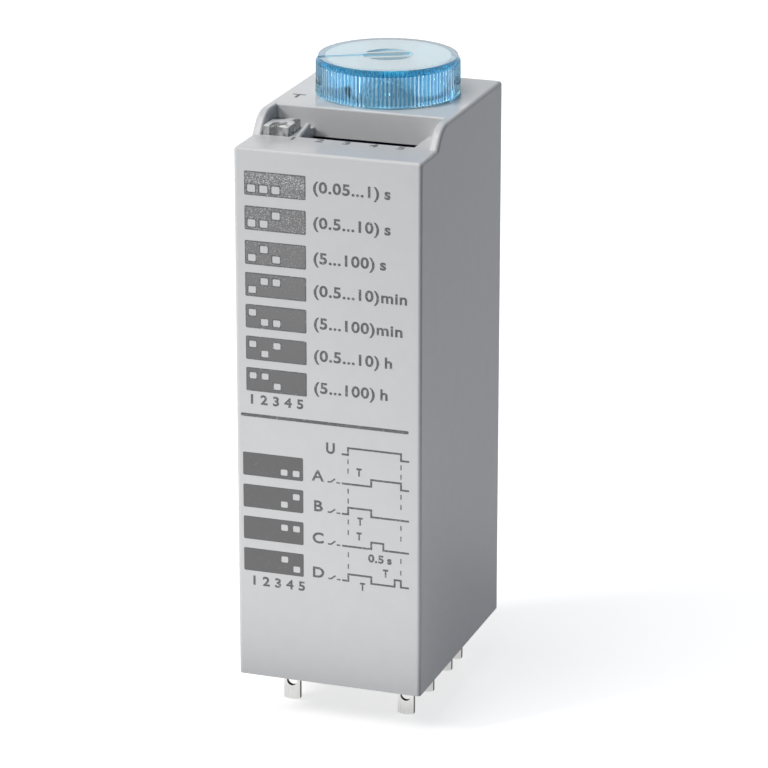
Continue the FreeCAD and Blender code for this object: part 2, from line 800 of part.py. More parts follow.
def make_flexible_lead(index, step):
    """Flat braid from a moving spring's stub, down through the carrier, to its common blade."""
    label = f"flexible_lead_{index}"
    body = new_body(label, column(step))
    low = f"({COMMON_TOP} - braid_tail)"
    route = new_sketch(body, "YZ_Plane")
    outline(route, [
        (SPRING_FRONT, BRAID_HEIGHT), (f"{BRAID_PLACE} + braid_bend", BRAID_HEIGHT),
        (BRAID_PLACE, f"{BRAID_HEIGHT} - braid_bend"), (BRAID_PLACE, f"{low} + braid_bend"),
        (f"{BRAID_PLACE} - braid_bend", low), (f"{COMMON_ROW} + blade_thickness / 2", low)],
        arcs={1: ("braid_bend", LEFT_TURN), 3: ("braid_bend", RIGHT_TURN)}, closed=False)
    section = new_sketch(body, "XZ_Plane", f"0 - {SPRING_FRONT}")
    rectangle(section, "0 - braid_width / 2", f"{BRAID_HEIGHT} - braid_thickness / 2",
              "braid_width / 2", f"{BRAID_HEIGHT} + braid_thickness / 2")
    braid = body.newObject("PartDesign::AdditivePipe", f"{label}_pipe")
    braid.Profile = section
    braid.Spine = route
    return keep(body, label)


def make_clapper():
    make_armature()
    make_return_spring()
    make_contact_carrier()
    for index, step in enumerate(COLUMNS, 1):
        make_moving_spring(index, step)
        make_flexible_lead(index, step)
    make_contacts()


# Electronics

def pin_places():
    """The link pins' places across the case, as formulas."""
    return [f"({i - (PIN_COUNT - 1) / 2} * pin_pitch)" for i in range(PIN_COUNT)]


def make_board(label, low):
    """Circuit board with a row of punched square holes for the link pins."""
    body = new_body(label)
    half = f"({INNER} - board_edge_gap)"
    plan = new_sketch(body, "XY_Plane", low)
    rectangle(plan, f"0 - {half}", f"{INNER_FRONT} + board_edge_gap", half,
              f"{INNER_BACK} - board_edge_gap")
    hole = "(pin_side / 2 + pin_hole_gap)"
    for x in pin_places():
        rectangle(plan, f"{x} - {hole}", f"{PIN_ROW} - {hole}", f"{x} + {hole}", f"{PIN_ROW} + {hole}")
    pad(body, plan, "board_thickness")
    return keep(body, label)


def make_link_pins():
    pins = []
    for x in pin_places():
        post = doc.addObject("Part::Box", "link_pin")
        bind(post, "Length", "pin_side")
        bind(post, "Width", "pin_side")
        bind(post, "Height", f"{CONTROL_TOP} - {POWER_UNDER} + 2 * pin_stub")
        place(post, f"{x} - pin_side / 2", f"{PIN_ROW} - pin_side / 2", f"{POWER_UNDER} - pin_stub")
        pins.append(post)
    return group("board_link_pins", pins)


def make_bevelled_box(label, width, depth, height, x, y, z, bevel):
    """Moulded package with its upright edges bevelled."""
    body = new_body(label, x, y, z)
    plan = new_sketch(body, "XY_Plane")
    rectangle(plan, f"0 - {width} / 2", f"0 - {depth} / 2", f"{width} / 2", f"{depth} / 2")
    pad(body, plan, height)
    round_edges(body, bevel, upright, "Chamfer")
    return keep(body, label)


def make_power_parts():
    tall = f"({CONTROL_UNDER} - {POWER_TOP} - part_headroom)"
    can_top = f"({POWER_TOP} + {tall})"
    groove = f"({POWER_TOP} + capacitor_groove_rise)"
    make_turned("smoothing_capacitor", [
        ("0", POWER_TOP), ("capacitor_radius", POWER_TOP),
        ("capacitor_radius", f"{groove} - capacitor_groove"),
        ("capacitor_radius - capacitor_groove", groove),
        ("capacitor_radius", f"{groove} + capacitor_groove"),
        ("capacitor_radius", can_top), ("0", can_top)],
        y=f"{FRONT} + capacitor_back", x=f"capacitor_side - {INNER}")
    make_bevelled_box("film_capacitor", "film_width", "film_depth", tall,
                      "0", f"{FRONT} + film_back", POWER_TOP, "film_radius")
    make_bevelled_box("bridge_rectifier", "bridge_width", "bridge_depth", "bridge_height",
                      f"{INNER} - bridge_side", f"{FRONT} + bridge_back", POWER_TOP, "bridge_bevel")
    make_bevelled_box("timing_chip", "chip_width", "chip_depth", "chip_height",
                      "0 - chip_side", f"{FRONT} + chip_back", f"{CONTROL_UNDER} - chip_height",
                      "chip_bevel")
    make_transistor()


def make_transistor():
    """Half-round package with a flat front."""
    body = new_body("driver_transistor", f"{INNER} - transistor_side",
                    f"{FRONT} + transistor_back", POWER_TOP)
    half = "sqrt(transistor_radius ^ 2 - transistor_flat ^ 2)"
    plan = new_sketch(body, "XY_Plane")
    outline(plan, [
        (f"0 - {half}", "0 - transistor_flat"), (half, "0 - transistor_flat"),
        ("0", "transistor_radius")],
        arcs={1: ("transistor_radius", LEFT_TURN), 2: ("transistor_radius", LEFT_TURN)})
    pad(body, plan, "transistor_height")
    return keep(body, "driver_transistor")


# Setting controls

def make_dip_body():
    """Slide switch's moulding, with one slot for each slider."""
    body = new_body("dip_body")
    plan = new_sketch(body, "XY_Plane", CONTROL_TOP)
    rectangle(plan, f"{WINDOW_LEFT} - dip_margin", f"{WINDOW_MIDDLE} - dip_depth / 2",
              f"{WINDOW_RIGHT} + dip_margin", f"{WINDOW_MIDDLE} + dip_depth / 2")
    pad(body, plan, "dip_height")
    slots = new_sketch(body, "XY_Plane", DIP_TOP)
    for index in range(SLIDER_COUNT):
        x = slider_place(index)
        rectangle(slots, f"{x} - slot_width / 2", f"{WINDOW_MIDDLE} - slot_length / 2",
                  f"{x} + slot_width / 2", f"{WINDOW_MIDDLE} + slot_length / 2")
    pocket(body, slots, "slot_depth")
    return keep(body, "dip_body")


def slider_place(index):
    return f"({WINDOW_LEFT} + {SLIDER_PITCH} * {index + 0.5})"


def make_dip_slider(index):
    """Slider at the front end of its slot, with a ridged thumb that stands proud."""
    label = f"dip_slider_{index + 1}"
    low = f"({DIP_TOP} - slot_depth + slider_gap)"
    front = f"({WINDOW_MIDDLE} - slot_length / 2 + slider_gap)"
    thumb = f"({front} + (slider_length - thumb_length) / 2)"
    body = new_body(label, slider_place(index))
    side = new_sketch(body, "YZ_Plane")
    rectangle(side, front, low, f"{front} + slider_length", DIP_TOP)
    pad(body, side, "slot_width - 2 * slider_gap", both=True)
    ridge = new_sketch(body, "YZ_Plane")
    rectangle(ridge, thumb, DIP_TOP, f"{thumb} + thumb_length", f"{DIP_TOP} + thumb_rise")
    pad(body, ridge, "thumb_width", both=True)
    return keep(body, label)


def lead_places():
    """The lamp's two leads, front and back, as formulas."""
    middle = f"({LED_FRONT} + led_depth / 2)"
    return [f"({middle} - led_pitch / 2)", f"({middle} + led_pitch / 2)"]


def make_led():
    """Clear block moulded round a two-lead frame whose front lead ends in a cup."""
    middle = f"(({LED_LEFT} + {LED_RIGHT}) / 2)"
    top = f"({LIP} + led_rise)"
    cup_top = f"({top} - led_cover)"
    lens = new_body("led_lens", middle)
    plan = new_sketch(lens, "XY_Plane", CONTROL_TOP)
    rectangle(plan, "0 - led_width / 2", LED_FRONT, "led_width / 2", LED_BACK)
    pad(lens, plan, f"{top} - {CONTROL_TOP}")
    round_edges(lens, "led_radius", upright)
    frame = new_body("led_frame", middle)
    for body, cut in ((lens, True), (frame, False)):
        leads = new_sketch(body, "XY_Plane", CONTROL_TOP)
        for y in lead_places():
            rectangle(leads, "0 - led_lead / 2", f"{y} - led_lead / 2", "led_lead / 2",
                      f"{y} + led_lead / 2")
        cups = new_sketch(body, "XY_Plane", f"{cup_top} - led_cup_height")
        for y in lead_places():
            rectangle(cups, "0 - led_cup / 2", f"{y} - led_cup / 2", "led_cup / 2",
                      f"{y} + led_cup / 2")
        rise = f"{cup_top} - led_cup_height - {CONTROL_TOP}"
        if cut:
            pocket(body, leads, rise, turned=True)
            pocket(body, cups, "led_cup_height", turned=True)
        else:
            pad(body, leads, rise).AllowMultiFace = True
            pad(body, cups, "led_cup_height").AllowMultiFace = True
    keep(lens, "led_lens")
    keep(frame, "led_frame")


def make_pot():
    """Square potentiometer with a round boss, and the rotor that the knob's stem drives."""
    body = new_body("pot_body", "knob_side", KNOB_PLACE, CONTROL_TOP)
    plan = new_sketch(body, "XY_Plane")
    rectangle(plan, "0 - pot_side / 2", "0 - pot_side / 2", "pot_side / 2", "pot_side / 2")
    pad(body, plan, "pot_height")
    round_edges(body, "edge_radius", upright, "Chamfer")
    boss = new_sketch(body, "XY_Plane", "pot_height")
    circle(boss, "0", "0", "pot_boss_radius")
    pad(body, boss, "pot_boss_height")
    keep(body, "pot_body")
    rotor = new_body("pot_rotor", "knob_side", KNOB_PLACE, ROTOR_BASE)
    bind(rotor, "Placement.Rotation.Angle", "pointer_angle")
    disc = new_sketch(rotor, "XY_Plane")
    circle(disc, "0", "0", "rotor_radius")
    pad(rotor, disc, "rotor_disc")
    key = new_sketch(rotor, "XY_Plane", "rotor_disc")
    rectangle(key, "0 - key_length / 2", "0 - key_width / 2", "key_length / 2",
              "key_width / 2")
    pad(rotor, key, "key_height")
    keep(rotor, "pot_rotor")


def make_knob():
    """Clear cap on a keyed stem, with a serrated skirt; the pointer lies along its own X."""
    body = new_body("knob", "knob_side", KNOB_PLACE, KNOB_BASE)
    bind(body, "Placement.Rotation.Angle", "pointer_angle")
    stem_end = f"({STEM_END} - {KNOB_BASE})"
    bevel_low = "(knob_height - knob_chamfer_height)"
    top_radius = "(knob_radius - knob_draft)"
    bore = "(knob_radius - knob_wall)"
    ceiling = "(knob_height - knob_plate)"
    section = new_sketch(body, "XZ_Plane")
    outline(section, [
        ("0", stem_end), ("stem_radius", stem_end), ("stem_radius", ceiling), (bore, ceiling),
        (bore, "0"), ("knob_radius", "0"), (top_radius, bevel_low),
        (f"{top_radius} - knob_chamfer", "knob_height"), ("0", "knob_height")])
    spin(body, section)
    cut_knob_top(body)
    key = new_sketch(body, "XY_Plane", stem_end)
    long, wide = "(key_length / 2 + key_gap)", "(key_width / 2 + key_gap)"
    rectangle(key, f"0 - {long}", f"0 - {wide}", long, wide)
    pocket(body, key, "key_height - fit_gap + key_gap", turned=True)
    foot, head = (new_groove(body, level) for level in (f"(0 - {THROUGH})", f"(knob_height + {THROUGH})"))
    first = body.newObject("PartDesign::SubtractiveLoft", "knob_serration")
    first.Profile = foot
    first.Sections = [head]
    first.Ruled = True
    ring = body.newObject("PartDesign::PolarPattern", "knob_serrations")
    ring.Originals = [first]
    ring.Axis = (foot, ["N_Axis"])
    ring.Angle = 360
    ring.Occurrences = SERRATION_COUNT
    body.Tip = ring
    return keep(body, "knob")


def new_groove(body, level):
    """Section of a serration at this level, a V that draws in with the skirt's draft."""
    size = f"(1 - {level} * knob_draft / (knob_height - knob_chamfer_height) / knob_radius)"
    wide = f"(serration_width * {size})"
    outside = f"((knob_radius + serration_depth) * {size})"
    section = new_sketch(body, "XY_Plane", level)
    outline(section, [
        (f"(knob_radius - serration_depth) * {size}", "0"), (outside, f"0 - {wide}"), (outside, wide)])
    return section


def cut_knob_top(body):
    """Driver slot, pointer groove and the two crescents beside the slot."""
    half = "stem_radius"
    slot = new_sketch(body, "XY_Plane", "knob_height")
    rectangle(slot, f"0 - {half}", "0 - driver_slot / 2", half, "driver_slot / 2")
    pocket(body, slot, "driver_depth")
    pointer = new_sketch(body, "XY_Plane", "knob_height")
    rectangle(pointer, half, "0 - pointer_width / 2", "knob_radius", "pointer_width / 2")
    pocket(body, pointer, "pointer_depth")
    crescents = new_sketch(body, "XY_Plane", "knob_height")
    reach = "sqrt(stem_radius ^ 2 - crescent_inset ^ 2)"
    outline(crescents, [(reach, "crescent_inset"), (f"0 - {reach}", "crescent_inset")],
            arcs={0: ("stem_radius", LEFT_TURN)})
    outline(crescents, [(f"0 - {reach}", "0 - crescent_inset"), (reach, "0 - crescent_inset")],
            arcs={0: ("stem_radius", LEFT_TURN)})
    pocket(body, crescents, "crescent_depth")


def make_controls():
    make_dip_body()
    for index in range(SLIDER_COUNT):
        make_dip_slider(index)
    make_led()
    make_pot()
    make_knob()


def check():
    """Stop if any object failed, any cut removed nothing or any sub-part isn't sound."""
    for item in doc.Objects:
        if "Invalid" in item.State or "Error" in item.State:
            raise RuntimeError(f"{item.Label} failed: {item.State}")
        if item.TypeId == "PartDesign::Pocket":
            if item.Shape.Volume > item.BaseFeature.Shape.Volume - 1e-6:
                raise RuntimeError(f"{item.Label} cut nothing")
    for piece in pieces:
        if piece.Shape.isNull() or not piece.Shape.isValid() or not piece.Shape.Solids:
            raise RuntimeError(f"{piece.Label} has no sound solid")


def write():
    os.makedirs("parts", exist_ok=True)
    for piece in pieces:
        piece.Shape.exportStep(os.path.join("parts", f"{piece.Label}.step"))
        print(piece.Label, len(piece.Shape.Solids), round(piece.Shape.Volume, 2))
    swing = math.degrees(math.atan(number(SWING)))
    print(f"armature swing {swing:.3f} degrees about y {number(ARMATURE_FRONT):.3f}, "
          f"z {number(PIVOT_HEIGHT):.3f}")
    slide = number("slot_length - slider_length - 2 * slider_gap")
    print(f"slider travel {slide:.3f}, knob at {number(KNOB_PLACE):.3f}")


make_case_cover()
make_terminal_base()
make_blades()
make_coil()
make_flux_plate("yoke", "yoke_width", f"{COIL_PLACE} - flange_radius",
                f"{ARMATURE_FRONT} - swing_gap", BASE_TOP)
make_flux_plate("pole_piece", "pole_width", f"{COIL_PLACE} - pole_front", POLE_FACE, BOBBIN_TOP)
make_coil_leads()
make_clapper()
make_board("power_board", POWER_UNDER)
make_board("control_board", CONTROL_UNDER)
make_link_pins()
make_power_parts()
make_controls()
doc.recompute()
check()
write()
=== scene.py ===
"""Looks of a plug-in timer relay: finishes, print, clear knob, lamp and studio stage on the CAD frame."""
import math

import bpy
from mathutils import Matrix, Vector


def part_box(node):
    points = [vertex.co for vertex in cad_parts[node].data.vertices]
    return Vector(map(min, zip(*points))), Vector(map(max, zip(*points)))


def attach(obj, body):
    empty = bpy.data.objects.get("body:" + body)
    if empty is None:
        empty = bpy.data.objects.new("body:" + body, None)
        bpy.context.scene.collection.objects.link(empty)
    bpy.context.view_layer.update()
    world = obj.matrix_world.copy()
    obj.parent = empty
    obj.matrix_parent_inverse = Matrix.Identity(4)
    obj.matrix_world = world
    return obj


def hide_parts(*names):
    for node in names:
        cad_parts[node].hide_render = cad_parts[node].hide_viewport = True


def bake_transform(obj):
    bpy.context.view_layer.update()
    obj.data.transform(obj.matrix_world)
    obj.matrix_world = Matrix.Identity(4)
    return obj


bl_info = {
    "name": "Timer relay looks",
    "version": (1, 0, 0),
    "blender": (4, 5, 0),
    "location": "View3D > Sidebar > Timer relay",
    "description": "Finishes, print, clear pieces and studio stage of a plug-in timer relay",
    "category": "Object",
}

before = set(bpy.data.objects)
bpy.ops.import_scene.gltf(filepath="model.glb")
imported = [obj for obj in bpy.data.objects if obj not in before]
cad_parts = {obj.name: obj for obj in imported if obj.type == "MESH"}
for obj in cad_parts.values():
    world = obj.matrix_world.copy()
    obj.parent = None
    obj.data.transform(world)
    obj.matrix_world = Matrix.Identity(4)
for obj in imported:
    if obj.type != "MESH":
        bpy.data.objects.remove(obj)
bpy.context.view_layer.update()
MM = 0.001

# Texts of the chart, top to bottom
TIME_RANGES = ("(0.05...1) s", "(0.5...10) s", "(5...100) s", "(0.5...10)min", "(5...100)min",
               "(0.5...10) h", "(5...100) h")
FUNCTIONS = ("A", "B", "C", "D")
SWITCHES = (1, 2, 3, 4, 5)
# The first switches set the time range, the last ones the function
RANGE_SWITCHES, FUNCTION_SWITCHES = 3, 2
# The first gaps between the time ranges are wider
WIDE_GAPS = 2

# Base lines and signs of the timing traces, from the cover's left edge and down from the lip
SUPPLY_BASE = 32.55 * MM
TRACE_BASES = [drop * MM for drop in (35.83, 39.25, 42.88, 46.82)]
SUPPLY_LETTER = (10.64 * MM, 32.03 * MM)
PULSE_TEXT = (16.18 * MM, 43.93 * MM)
TIME_LETTERS = [(x * MM, drop * MM) for x, drop in
                ((13.84, 34.38), (13.95, 39.9), (13.84, 41.6), (16.81, 45.45), (14.21, 47.3))]
# Open contact: left end, hinge and tip of its blade and both ends of its fixed part, the tip's lift, and the
# thickness of its lines against the traces
CONTACT_PLACES = (10.3 * MM, 10.65 * MM, 11.15 * MM, 11.3 * MM, 11.7 * MM)
CONTACT_LIFT = 0.4 * MM
CONTACT_SHARE = 0.8
# Middles of the dashes between two traces, as shares of the room there
DASH_PLACES = (0.3, 0.72)
# Corner radius of the rule against its thickness
RULE_ROUNDING = 0.45
# Height of the font's figures against its size, width of a space against its own, and spread of the ink
FIGURE_SHARE, WORD_GAP, INK_SPREAD = 0.69, 0.6, 0.05 * MM

# Lamps: their way from the target, their distance, and their width and height in metres
LAMP_COLOUR = "#FFFDFA"
LAMP_DISTANCE = 1.6
KEY_WAY, KEY_SIZE = (-0.6, -0.52, 0.6), (0.4, 0.4)
TOP_WAY, TOP_SIZE = (-0.2, -0.3, 0.93), (0.7, 1)
BACK_WAY, BACK_SIZE = (-0.12, 1, 0.3), (0.9, 0.6)
CARD_PLACE, CARD_SIZE = (-0.06, -0.1615, 0.0015), (0.2, 0.277)

# Kinds of node that the materials use most, and where most values of a noise pattern lie
MATH, RANGE, MIX = "ShaderNodeMath", "ShaderNodeMapRange", "ShaderNodeMix"
NOISE_SPAN = {"From Min": 0.3, "From Max": 0.7}


# Settings

def linear(code):
    """Linear red, green and blue of an sRGB hex colour."""
    shares = [int(code[i:i + 2], 16) / 255 for i in (1, 3, 5)]
    return tuple(c / 12.92 if c <= 0.04045 else ((c + 0.055) / 1.055) ** 2.4 for c in shares)


def colour(name, code, text):
    """Colour property with its default as an sRGB hex value."""
    return bpy.props.FloatVectorProperty(name=name, description=text, subtype="COLOR", size=3,
                                         min=0, max=1, default=linear(code))


def length(name, millimetres, text):
    """Length property with its default in millimetres."""
    return bpy.props.FloatProperty(name=name, description=text, unit="LENGTH", precision=5,
                                   default=millimetres * MM)


def share(name, value, text):
    """Property from 0 to 1."""
    return bpy.props.FloatProperty(name=name, description=text, subtype="FACTOR", min=0, max=1, default=value)


def number(name, value, text, **unit):
    """Property with a plain number, or one in a unit or subtype of its own."""
    return bpy.props.FloatProperty(name=name, description=text, default=value, **unit)


class RelayFinishes(bpy.types.PropertyGroup):
    """Colours and surface of the moulded, printed, clear and metal pieces."""

    case: colour("Case", "#CFD0D1", "Light grey of the moulded cover")
    case_roughness: share("Case roughness", 0.22, "Satin of the spark-eroded mould")
    case_grain: length("Case grain", 0.22, "Spacing of the mould's fine texture")
    base: colour("Base", "#232425", "Black of the terminal base")
    ink: colour("Ink", "#5D5D5E", "Grey of the printed chart")
    knob_tint: colour("Knob tint", "#00E1FB", "Colour that the knob's plastic lets through")
    tin: colour("Tin", "#DCDCDA", "Plated blades")


class RelayChart(bpy.types.PropertyGroup):
    """Places and sizes of the print, from the cover's left edge and down from the lip."""

    lip_drop: length("Lip drop", 2.25, "Lip below the cover's top")
    ink_height: length("Ink height", 0.012, "How far the ink stands proud")
    edge_height: length("Edge height", 0.0132, "How far the ink along the boxes' edges stands proud")
    box_left: length("Box left", 1.2, "Left end of the upper boxes")
    box_width: length("Box width", 6.82, "Width of a box")
    box_height: length("Box height", 2.6, "Height of a box")
    first_row: length("First row", 2.44, "Top of the first box")
    row_pitch: length("Row pitch", 3.5, "From one time range's box to the next")
    text_pitch: length("Text pitch", 3.56, "From one time range's text to the next")
    text_rise: length("Text rise", 0.2, "First text above the middle of its box")
    seconds_extra: length("Seconds extra", 0.27, "Added pitch between the rows in seconds")
    window_width: length("Window width", 0.89, "Width of the window that shows a switch's place")
    window_height: length("Window height", 0.8, "Height of the window that shows a switch's place")
    lower_window: share("Lower window", 0.86, "Size of the lower boxes' windows against the first ones")
    frame_width: length("Frame width", 0.12, "Solid ink along the edges of the thinly printed boxes")
    corner_radius: length("Corner radius", 0.14, "Corners of the boxes and their windows")
    window_high: length("High window", 0.87, "Centre of a high window below the box's top")
    window_low: length("Low window", 1.86, "Centre of a low window below the box's top")
    column: length("First column", 1.97, "Centre of the first switch's windows")
    column_pitch: length("Column pitch", 1.36, "From one switch to the next")
    range_left: length("Range left", 8.78, "Left end of the time ranges")
    figure_height: length("Figure height", 1.14, "Height of the printed figures")
    small_height: length("Small height", 0.82, "Height of the letters in the traces")
    letter_stretch: number("Letter stretch", 1.14, "Width of the letters against the font's own")
    letter_spacing: number("Letter spacing", 1.09, "Step between letters against the font's own")
    narrow_sign: share("Narrow sign", 0.65, "Width of the time sign T against the other letters")
    narrow_supply: share("Narrow supply", 0.8, "Width of the supply sign U against the other letters")
    switch_height: length("Switch height", 0.98, "Height of the switch numbers")
    upper_figures: length("Upper figures", 27.5, "Middle of the upper row of switch numbers")
    upper_figures_left: length("Upper figures left", 1.82, "Centre of the upper row's first number")
    rule_drop: length("Rule drop", 29.32, "Rule between the two charts")
    rule_left: length("Rule left", 0.52, "Left end of the rule")
    rule_right: length("Rule right", 19.37, "Right end of the rule")
    rule_width: length("Rule width", 0.36, "Thickness of the rule")
    lower_left: length("Lower left", 0.72, "Left end of the lower boxes")
    lower_row: length("Lower row", 33.53, "Top of the first lower box")
    lower_pitch: length("Lower pitch", 3.63, "From one function to the next")
    lower_column: length("Lower column", 5.38, "Centre of the fourth switch's windows")
    lower_figures: length("Lower figures", 48.1, "Middle of the lower row of switch numbers")
    lower_figures_left: length("Lower figures left", 1.87, "Centre of the lower row's first number")
    function_column: length("Function column", 9.2, "Centre of the functions' letters")
    function_rise: length("Function rise", 0.55, "Middle of a function's letter above its base line")
    trace_width: length("Trace width", 0.21, "Thickness of the timing traces")
    trace_rise: length("Trace rise", 0.76, "Height of a trace's step")
    trace_start: length("Trace start", 11.9, "Left end of the traces")
    trace_on: length("Trace on", 12.61, "Where the supply comes on")
    trace_time: length("Trace time", 15.2, "Where the set time ends")
    trace_pulse: length("Trace pulse", 16.56, "Where the short pulse ends")
    trace_blink: length("Trace blink", 17.83, "Where the last blink starts")
    trace_off: length("Trace off", 18.53, "Where the supply goes off")
    trace_end: length("Trace end", 19.43, "Right end of the traces")
    dash_width: length("Dash width", 0.13, "Thickness of the dashed time lines")
    dash_height: length("Dash height", 0.55, "Length of a dash")


class RelayTopMarks(bpy.types.PropertyGroup):
    """Places and sizes of the marks on top, from the middle and back from the front."""

    figure_height: length("Figure height", 1, "Height of the switch numbers on the lip")
    figure_left: length("First figure", -5.6, "Centre of the first switch number")
    figure_pitch: length("Figure pitch", 3, "From one switch number to the next")
    figure_back: length("Figure back", 5.15, "Middle of the switch numbers behind the front")
    sign_height: length("Sign height", 1.35, "Height of the time sign T beside the knob")
    sign_left: length("Sign place", -8.3, "Centre of the time sign")
    sign_back: length("Sign back", 13.9, "Middle of the time sign behind the front")
    letter_stretch: number("Letter stretch", 1.22, "Width of the marks against the font's own")


class RelayStage(bpy.types.PropertyGroup):
    """Camera and light."""

    azimuth: number("Azimuth", math.radians(19.15), "Camera's turn right of the front", subtype="ANGLE")
    elevation: number("Elevation", math.radians(18.53), "Camera's height above the level", subtype="ANGLE")
    distance: length("Distance", 432.6, "Camera to target")
    target: bpy.props.FloatVectorProperty(name="Target", description="Where the camera looks", precision=5,
                                          subtype="TRANSLATION", unit="LENGTH",
                                          default=(1.51 * MM, 0, 35.11 * MM))
    lens: number("Lens", 186.9, "Focal length on a 36 mm sensor", unit="CAMERA")
    key_power: number("Key", 14, "Soft lamp at the left", unit="POWER")
    top_power: number("Top", 12, "Large lamp overhead", unit="POWER")
    back_power: number("Back", 6, "Soft lamp behind", unit="POWER")
    card_power: number("Card", 0.27, "Card on the floor before the front", unit="POWER")
    ambient: number("Ambient", 0.08, "White room's light on the object")
    floor_glow: share("Floor glow", 0.76, "How far the floor is white by itself to the eye")
    floor_size: length("Floor size", 3000, "Side of the floor")


class RelaySettings(bpy.types.PropertyGroup):
    """All settings of the relay."""

    finishes: bpy.props.PointerProperty(type=RelayFinishes)
    chart: bpy.props.PointerProperty(type=RelayChart)
    top_marks: bpy.props.PointerProperty(type=RelayTopMarks)
    stage: bpy.props.PointerProperty(type=RelayStage)


def settings():
    """The scene's relay settings."""
    return bpy.context.scene.timer_relay


# Nodes and materials

def fill(node, links):
    """Fill a node's sockets in use, by name or number, with values or links from sockets or nodes. Colours
    are given as red, green and blue."""
    used = [socket for socket in node.inputs if socket.enabled]
    for key, value in links.items():
        socket = used[key] if isinstance(key, int) else next(item for item in used if item.name == key)
        if isinstance(value, bpy.types.Node):
            value = next(output for output in value.outputs if output.enabled)
        if isinstance(value, bpy.types.NodeSocket):
            node.id_data.links.new(value, socket)
        else:
            socket.default_value = (*value, 1) if socket.type == "RGBA" else value


def add_node(tree, kind, links=None, **properties):
    """Add a node, set its properties and fill its sockets."""
    node = tree.nodes.new(kind)
    for key, value in properties.items():
        setattr(node, key, value)
    fill(node, links or {})
    return node


def start_material(name, sockets):
    """New material whose Principled shader has these socket values; returns it, its tree and its shader."""
    material = bpy.data.materials.new(name)
    material.use_nodes = True
    shader = material.node_tree.nodes["Principled BSDF"]
    fill(shader, sockets)
    return material, material.node_tree, shader


def object_axes(tree):
    """The object's own coordinates, split by axis."""
    place = add_node(tree, "ShaderNodeTexCoord").outputs["Object"]
    return add_node(tree, "ShaderNodeSeparateXYZ", {"Vector": place}).outputs


def grain(tree, millimetres, detail, stretch=(1, 1, 1)):
    """Noise over the object's own coordinates with about this spacing; stretch draws it out along an axis."""
    place = add_node(tree, "ShaderNodeTexCoord").outputs["Object"]
    mapped = add_node(tree, "ShaderNodeMapping", {"Vector": place, "Scale": stretch})
    return add_node(tree, "ShaderNodeTexNoise", {"Vector": mapped, "Scale": 1 / (millimetres * MM),
                                                 "Detail": detail})


def vary(shader, rgb, depth, tint, roughness, spread, relief, strength, height):
    """Vary a surface: the pattern tint shades its colour by the share depth, the pattern relief changes its
    roughness by the share spread and raises it by a height in millimetres."""
    tree = shader.id_data
    dark, pale = [c * (1 - depth) for c in rgb], [min(1, c * (1 + depth)) for c in rgb]
    shade = add_node(tree, RANGE, {"Value": tint, **NOISE_SPAN})
    body = add_node(tree, MIX, {"Factor": shade, "A": dark, "B": pale}, data_type="RGBA")
    gloss = add_node(tree, RANGE, {"Value": relief, **NOISE_SPAN, "To Min": roughness * (1 - spread),
                                   "To Max": roughness * (1 + spread)})
    bump = add_node(tree, "ShaderNodeBump", {"Height": relief, "Strength": strength, "Distance": height * MM})
    fill(shader, {"Base Color": body, "Roughness": gloss, "Normal": bump})


def moulded(name, rgb, roughness, spacing, depth=0.012, height=0.0002, cloud=1.6, **sockets):
    """Moulded plastic: faint cloudy colour, the mould's fine texture and a satin that varies a little."""
    material, tree, shader = start_material(name, sockets)
    vary(shader, rgb, depth, grain(tree, cloud, 2), roughness, spread=0.12, relief=grain(tree, spacing, 3),
         strength=0.6, height=height)
    return material


def metal(name, rgb, roughness, spacing, stretch=(1, 1, 1), depth=0.06, height=0.002):
    """Rolled or plated metal: streaks drawn out along one way in its colour, gloss and relief."""
    material, tree, shader = start_material(name, {"Metallic": 1})
    streaks = grain(tree, spacing, 3, stretch)
    vary(shader, rgb, depth, streaks, roughness, spread=0.3, relief=streaks, strength=0.5, height=height)
    return material


def sheared_strip(name, rgb, edge, roughness):
    """Plated strip whose faces look to the front and back: they keep their plate; sheared edges and holes are
    bare and dull, and dark with painted shade of the thickness sides."""
    edge_on, face_on, dull = 0.45, 0.75, 0.5
    material = metal(name, rgb, roughness, spacing=0.12, stretch=(1, 1, 0.12))
    tree = material.node_tree
    shader = tree.nodes["Principled BSDF"]
    normal = add_node(tree, "ShaderNodeNewGeometry").outputs["Normal"]
    axes = add_node(tree, "ShaderNodeSeparateXYZ", {"Vector": normal})
    facing = add_node(tree, MATH, {0: axes.outputs["Y"]}, operation="ABSOLUTE")
    # Faces that don't look to the front or back get the dark edge colour: bare sheared metal, darkened with
    # painted shade
    bare = add_node(tree, RANGE, {"Value": facing, "From Min": edge_on, "From Max": face_on,
                                  "To Min": 1, "To Max": 0})
    plate, gloss = [shader.inputs[key].links[0].from_socket for key in ("Base Color", "Roughness")]
    body = add_node(tree, MIX, {"Factor": bare, "A": plate, "B": edge}, data_type="RGBA")
    rough = add_node(tree, MIX, {"Factor": bare, "A": gloss, "B": dull})
    fill(shader, {"Base Color": body, "Roughness": rough})
    return material


